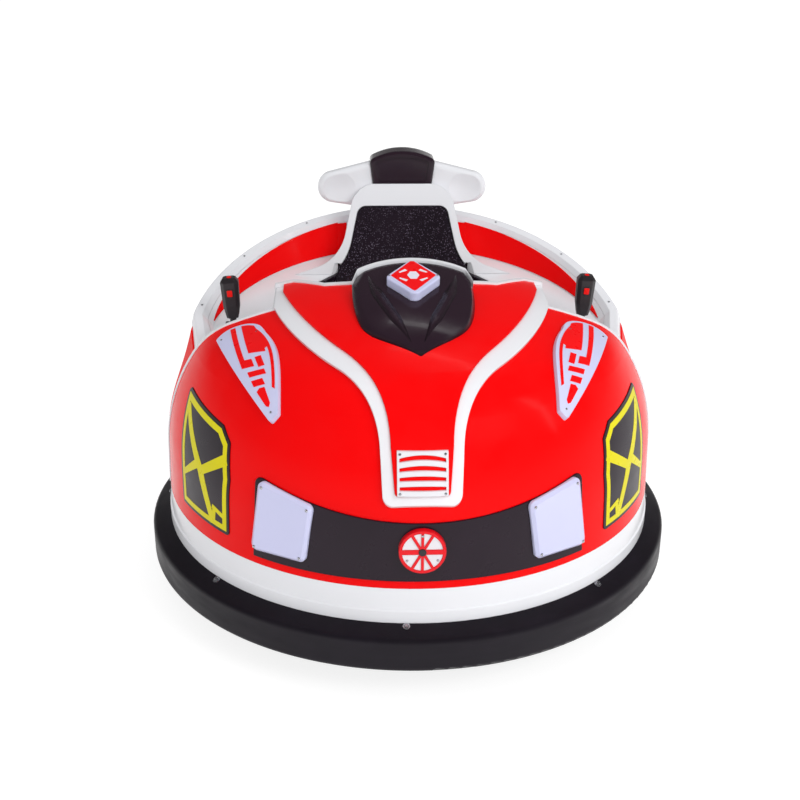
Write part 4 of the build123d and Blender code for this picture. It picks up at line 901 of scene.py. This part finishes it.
def stick_parts(side, s):
    node, body = "stick_" + side, "stick_body_" + side
    axis = Vector((s * math.sin(math.radians(STICK_LEAN)), 0, math.cos(math.radians(STICK_LEAN))))
    pivot = Vector((s * STICK_X, STICK_Y, STICK_PIVOT_Z))
    middle, top = pivot + axis * BUTTON_RISE, pivot + axis * TOP_BUTTON_RISE
    spot = drop(FRONT, middle.x, middle.z, node)
    piece("grip_button_" + side, *block(spot, axis, *BUTTON_SIZE), BUTTON, "grip_black", body)
    piece("grip_button_frame_" + side, *block(spot, axis, *BUTTON_FRAME), GRIP, "grip_black", body)
    horn = drop(TOP, top.x, STICK_Y - TOP_BUTTON_BACK, node)
    piece("horn_button_" + side, *head(horn, TOP_BUTTON_R, TOP_BUTTON_H), BUTTON, "grip_black", body)
    seams = []
    for out in (Vector((-1, 0, 0)), Vector((1, 0, 0))):
        hits = [ray(node, (pivot + axis * rise) * MM + out, -out) for rise in steps(SEAM_FROM, SEAM_TO, 12)]
        seams.append(tube([at + normal * SEAM_LIFT * MM for at, normal in hits], SEAM_R, 6, closed=False))
    piece("grip_seams_" + side, *joined(*seams), FRAME_PAINT, "grip_black", body)


for side, s in (("left", -1), ("right", 1)):
    stick_parts(side, s)
base_spots = [drop(TOP, s * STICK_X + x, STICK_Y + y, "stick_bases") for s in (-1, 1)
              for x in (-BASE_SCREW_X, BASE_SCREW_X) for y in (-BASE_SCREW_Y, BASE_SCREW_Y)]
screws("base_screws", base_spots, 3.4, 2.0)

# Below: tyres with grooves, bolts of wheels, motors and casters
TREAD_GROOVES = (-14, 0, 14)
GROOVE_SECTION = [(-2.2, 0), (-1.6, 3.0), (1.6, 3.0), (2.2, 0)]
TYRE_ROUND, TYRE_TURNS = 10, 72
WHEEL_BOLTS, WHEEL_BOLT_R = 5, 46
GEARBOX_BOLT, GEARBOX_RAY_X = 36, 406
CASTER_BOLT_X, CASTER_BOLT_Y = 40, 33


def tyre_profile():
    """closed section of a solid tyre, as offset and radius: rounded shoulders, grooves round the tread"""
    half = WHEEL_W / 2
    shoulder = [(half - TYRE_ROUND * (1 - math.cos(math.radians(a))),
                 WHEEL_R - TYRE_ROUND * (1 - math.sin(math.radians(a)))) for a in (0, 30, 60, 90)]
    tread = [(x + aside, WHEEL_R - deep) for x in TREAD_GROOVES for aside, deep in GROOVE_SECTION]
    return [(-half, HUB_R)] + [(-x, r) for x, r in shoulder] + tread + shoulder[::-1] + [(half, HUB_R)]


for side, s in (("left", -1), ("right", 1)):
    body = "drive_wheel_" + side
    rings = [[Vector((s * WHEEL_X + x, r * math.cos(t), WHEEL_R - r * math.sin(t))) * MM
              for x, r in tyre_profile()] for t in angles(TYRE_TURNS)]
    tyre = piece("tread_tyre_" + side, *skin(rings, closed=True), TYRE, "wheel_tyre", body)
    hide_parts("drive_tyre_" + side)
    out = Vector((s, 0, 0))
    hub = Vector((0, 0, WHEEL_R * MM))
    spots = [ray("drive_hub_" + side, start + out, -out)
             for start in circle(hub, Vector((0, 1, 0)), UP, WHEEL_BOLT_R, WHEEL_BOLTS)]
    bolts("wheel_bolts_" + side, spots, 5, 5, body=body)

gearbox_spots = [ray("drive_motors", Vector((s * GEARBOX_RAY_X, y, WHEEL_R + z)) * MM, Vector((-s, 0, 0)))
                 for s in (-1, 1) for y in (-GEARBOX_BOLT, GEARBOX_BOLT) for z in (-GEARBOX_BOLT, GEARBOX_BOLT)]
bolts("gearbox_bolts", gearbox_spots, 4.0, 3.6)
caster_spots = [drop(BELOW, x, -s * CASTER_Y + y, "caster_mounts") for s in (-1, 1)
                for x in (-CASTER_BOLT_X, CASTER_BOLT_X) for y in (-CASTER_BOLT_Y, CASTER_BOLT_Y)]
bolts("caster_bolts", caster_spots, 4.5, 4.0)

# Foot mat, in metres: raised ribs across it, cut to the round deck
MAT_R, MAT_HALF = 0.538, 0.281
RIB_PITCH, RIB_FRONT, RIB_BACK = 0.012, 0.020, 0.012
RIB_SECTION = [(-0.003, -0.0005), (0.003, -0.0005), (0.0016, 0.0022), (-0.0016, 0.0022)]


def mat_ribs():
    low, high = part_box("foot_mat")
    ribs = []
    y = low[1] + RIB_FRONT
    while y < high[1] - RIB_BACK:
        half = min(MAT_HALF, math.sqrt(MAT_R ** 2 - y * y))
        ribs.append(skin([[Vector((x, y + aside, high[2] + rise)) for aside, rise in RIB_SECTION]
                          for x in (-half, half)]))
        y += RIB_PITCH
    return joined(*ribs)


piece("mat_ribs", *mat_ribs(), MAT, "mat_rubber", smooth=False)

# Floor and light, in metres and watts; strips are seen in reflections, the two large lights aren't
FLOOR_HALF = 30
# Name, place, target, size, power, whether it is reflected
LIGHTS = [
    ("key", (2.3, -3.0, 2.9), (0, -0.1, 0.4), (1.8, 1.4), 53, False),
    ("front", (0.6, -6.2, 2.6), (0, -0.2, 0.5), (3.0, 2.0), 53, False),
    ("strip_right", (2.6, -1.2, 2.2), (0, -0.1, 0.5), (0.12, 1.6), 4, True),
    ("strip_top", (0.5, 1.2, 3.4), (0, -0.1, 0.5), (1.4, 0.1), 2, True),
]


def add_floor():
    """white as seen and in reflections, with soft shadows; a plain light grey for the light that it throws back"""
    mesh = bpy.data.meshes.new("floor")
    edge = FLOOR_HALF
    mesh.from_pydata([(-edge, -edge, 0), (edge, -edge, 0), (edge, edge, 0), (-edge, edge, 0)], [], [(0, 1, 2, 3)])
    o = bpy.data.objects.new("floor", mesh)
    scene.collection.objects.link(o)
    k = Look("floor", (0.86, 0.86, 0.86), 0.8, Specular_IOR_Level=0.0)
    k.tint(1.5, change=0.01)
    glow = k.node("Emission", {"Color": (1, 1, 1, 1), "Strength": 0.80})
    diffuse = k.node("BsdfDiffuse", {"Color": (0.36, 0.36, 0.36, 1)})
    white = k.node("AddShader", {0: glow.outputs[0], 1: diffuse.outputs[0]})
    path = k.node("LightPath", {}).outputs
    seen = k.times(path["Is Camera Ray"], path["Is Glossy Ray"], "MAXIMUM")
    seen = k.times(seen, path["Is Transmission Ray"], "MAXIMUM")
    mix = k.node("MixShader", {0: seen, 1: k.shader.outputs[0], 2: white.outputs[0]})
    k.tree.links.new(mix.outputs[0], k.tree.nodes["Material Output"].inputs["Surface"])
    mesh.materials.append(k.mat)


def add_light(name, place, target, size, power, reflected):
    light = bpy.data.lights.new(name, "AREA")
    light.shape, light.size, light.size_y, light.energy = "RECTANGLE", size[0], size[1], power
    o = bpy.data.objects.new(name, light)
    scene.collection.objects.link(o)
    o.location = place
    o.rotation_euler = (Vector(target) - Vector(place)).to_track_quat("-Z", "Y").to_euler()
    o.visible_glossy = reflected


def add_world():
    """white for what is seen directly; a soft sky for the light; a darker ceiling in reflections"""
    world = bpy.data.worlds.new("world")
    scene.world = world
    world.use_nodes = True
    tree = world.node_tree
    back = tree.nodes["Background"]
    back.inputs["Color"].default_value = (1, 1, 1, 1)
    new = tree.nodes.new
    path, place, split = new("ShaderNodeLightPath"), new("ShaderNodeTexCoord"), new("ShaderNodeSeparateXYZ")
    tree.links.new(place.outputs["Generated"], split.inputs[0])

    def by_height(low, high, at_low, at_high):
        ramp = new("ShaderNodeMapRange")
        for key, value in (("From Min", low), ("From Max", high), ("To Min", at_low), ("To Max", at_high)):
            ramp.inputs[key].default_value = value
        tree.links.new(split.outputs["Z"], ramp.inputs["Value"])
        return ramp.outputs[0]

    def choose(share, a, b):
        mix = new("ShaderNodeMix")
        tree.links.new(share, mix.inputs[MIX_SHARE])
        for index, value in zip(MIX_NUMBERS, (a, b)):
            if isinstance(value, float):
                mix.inputs[index].default_value = value
            else:
                tree.links.new(value, mix.inputs[index])
        return mix.outputs[0]

    level = choose(path.outputs["Is Glossy Ray"], by_height(0.0, 0.9, 0.86, 0.68), by_height(0.0, 0.22, 1.0, 0.10))
    level = choose(path.outputs["Is Camera Ray"], level, 1.0)
    tree.links.new(level, back.inputs["Strength"])


add_floor()
add_world()
for light in LIGHTS:
    add_light(*light)

scene.view_settings.view_transform = "Standard"
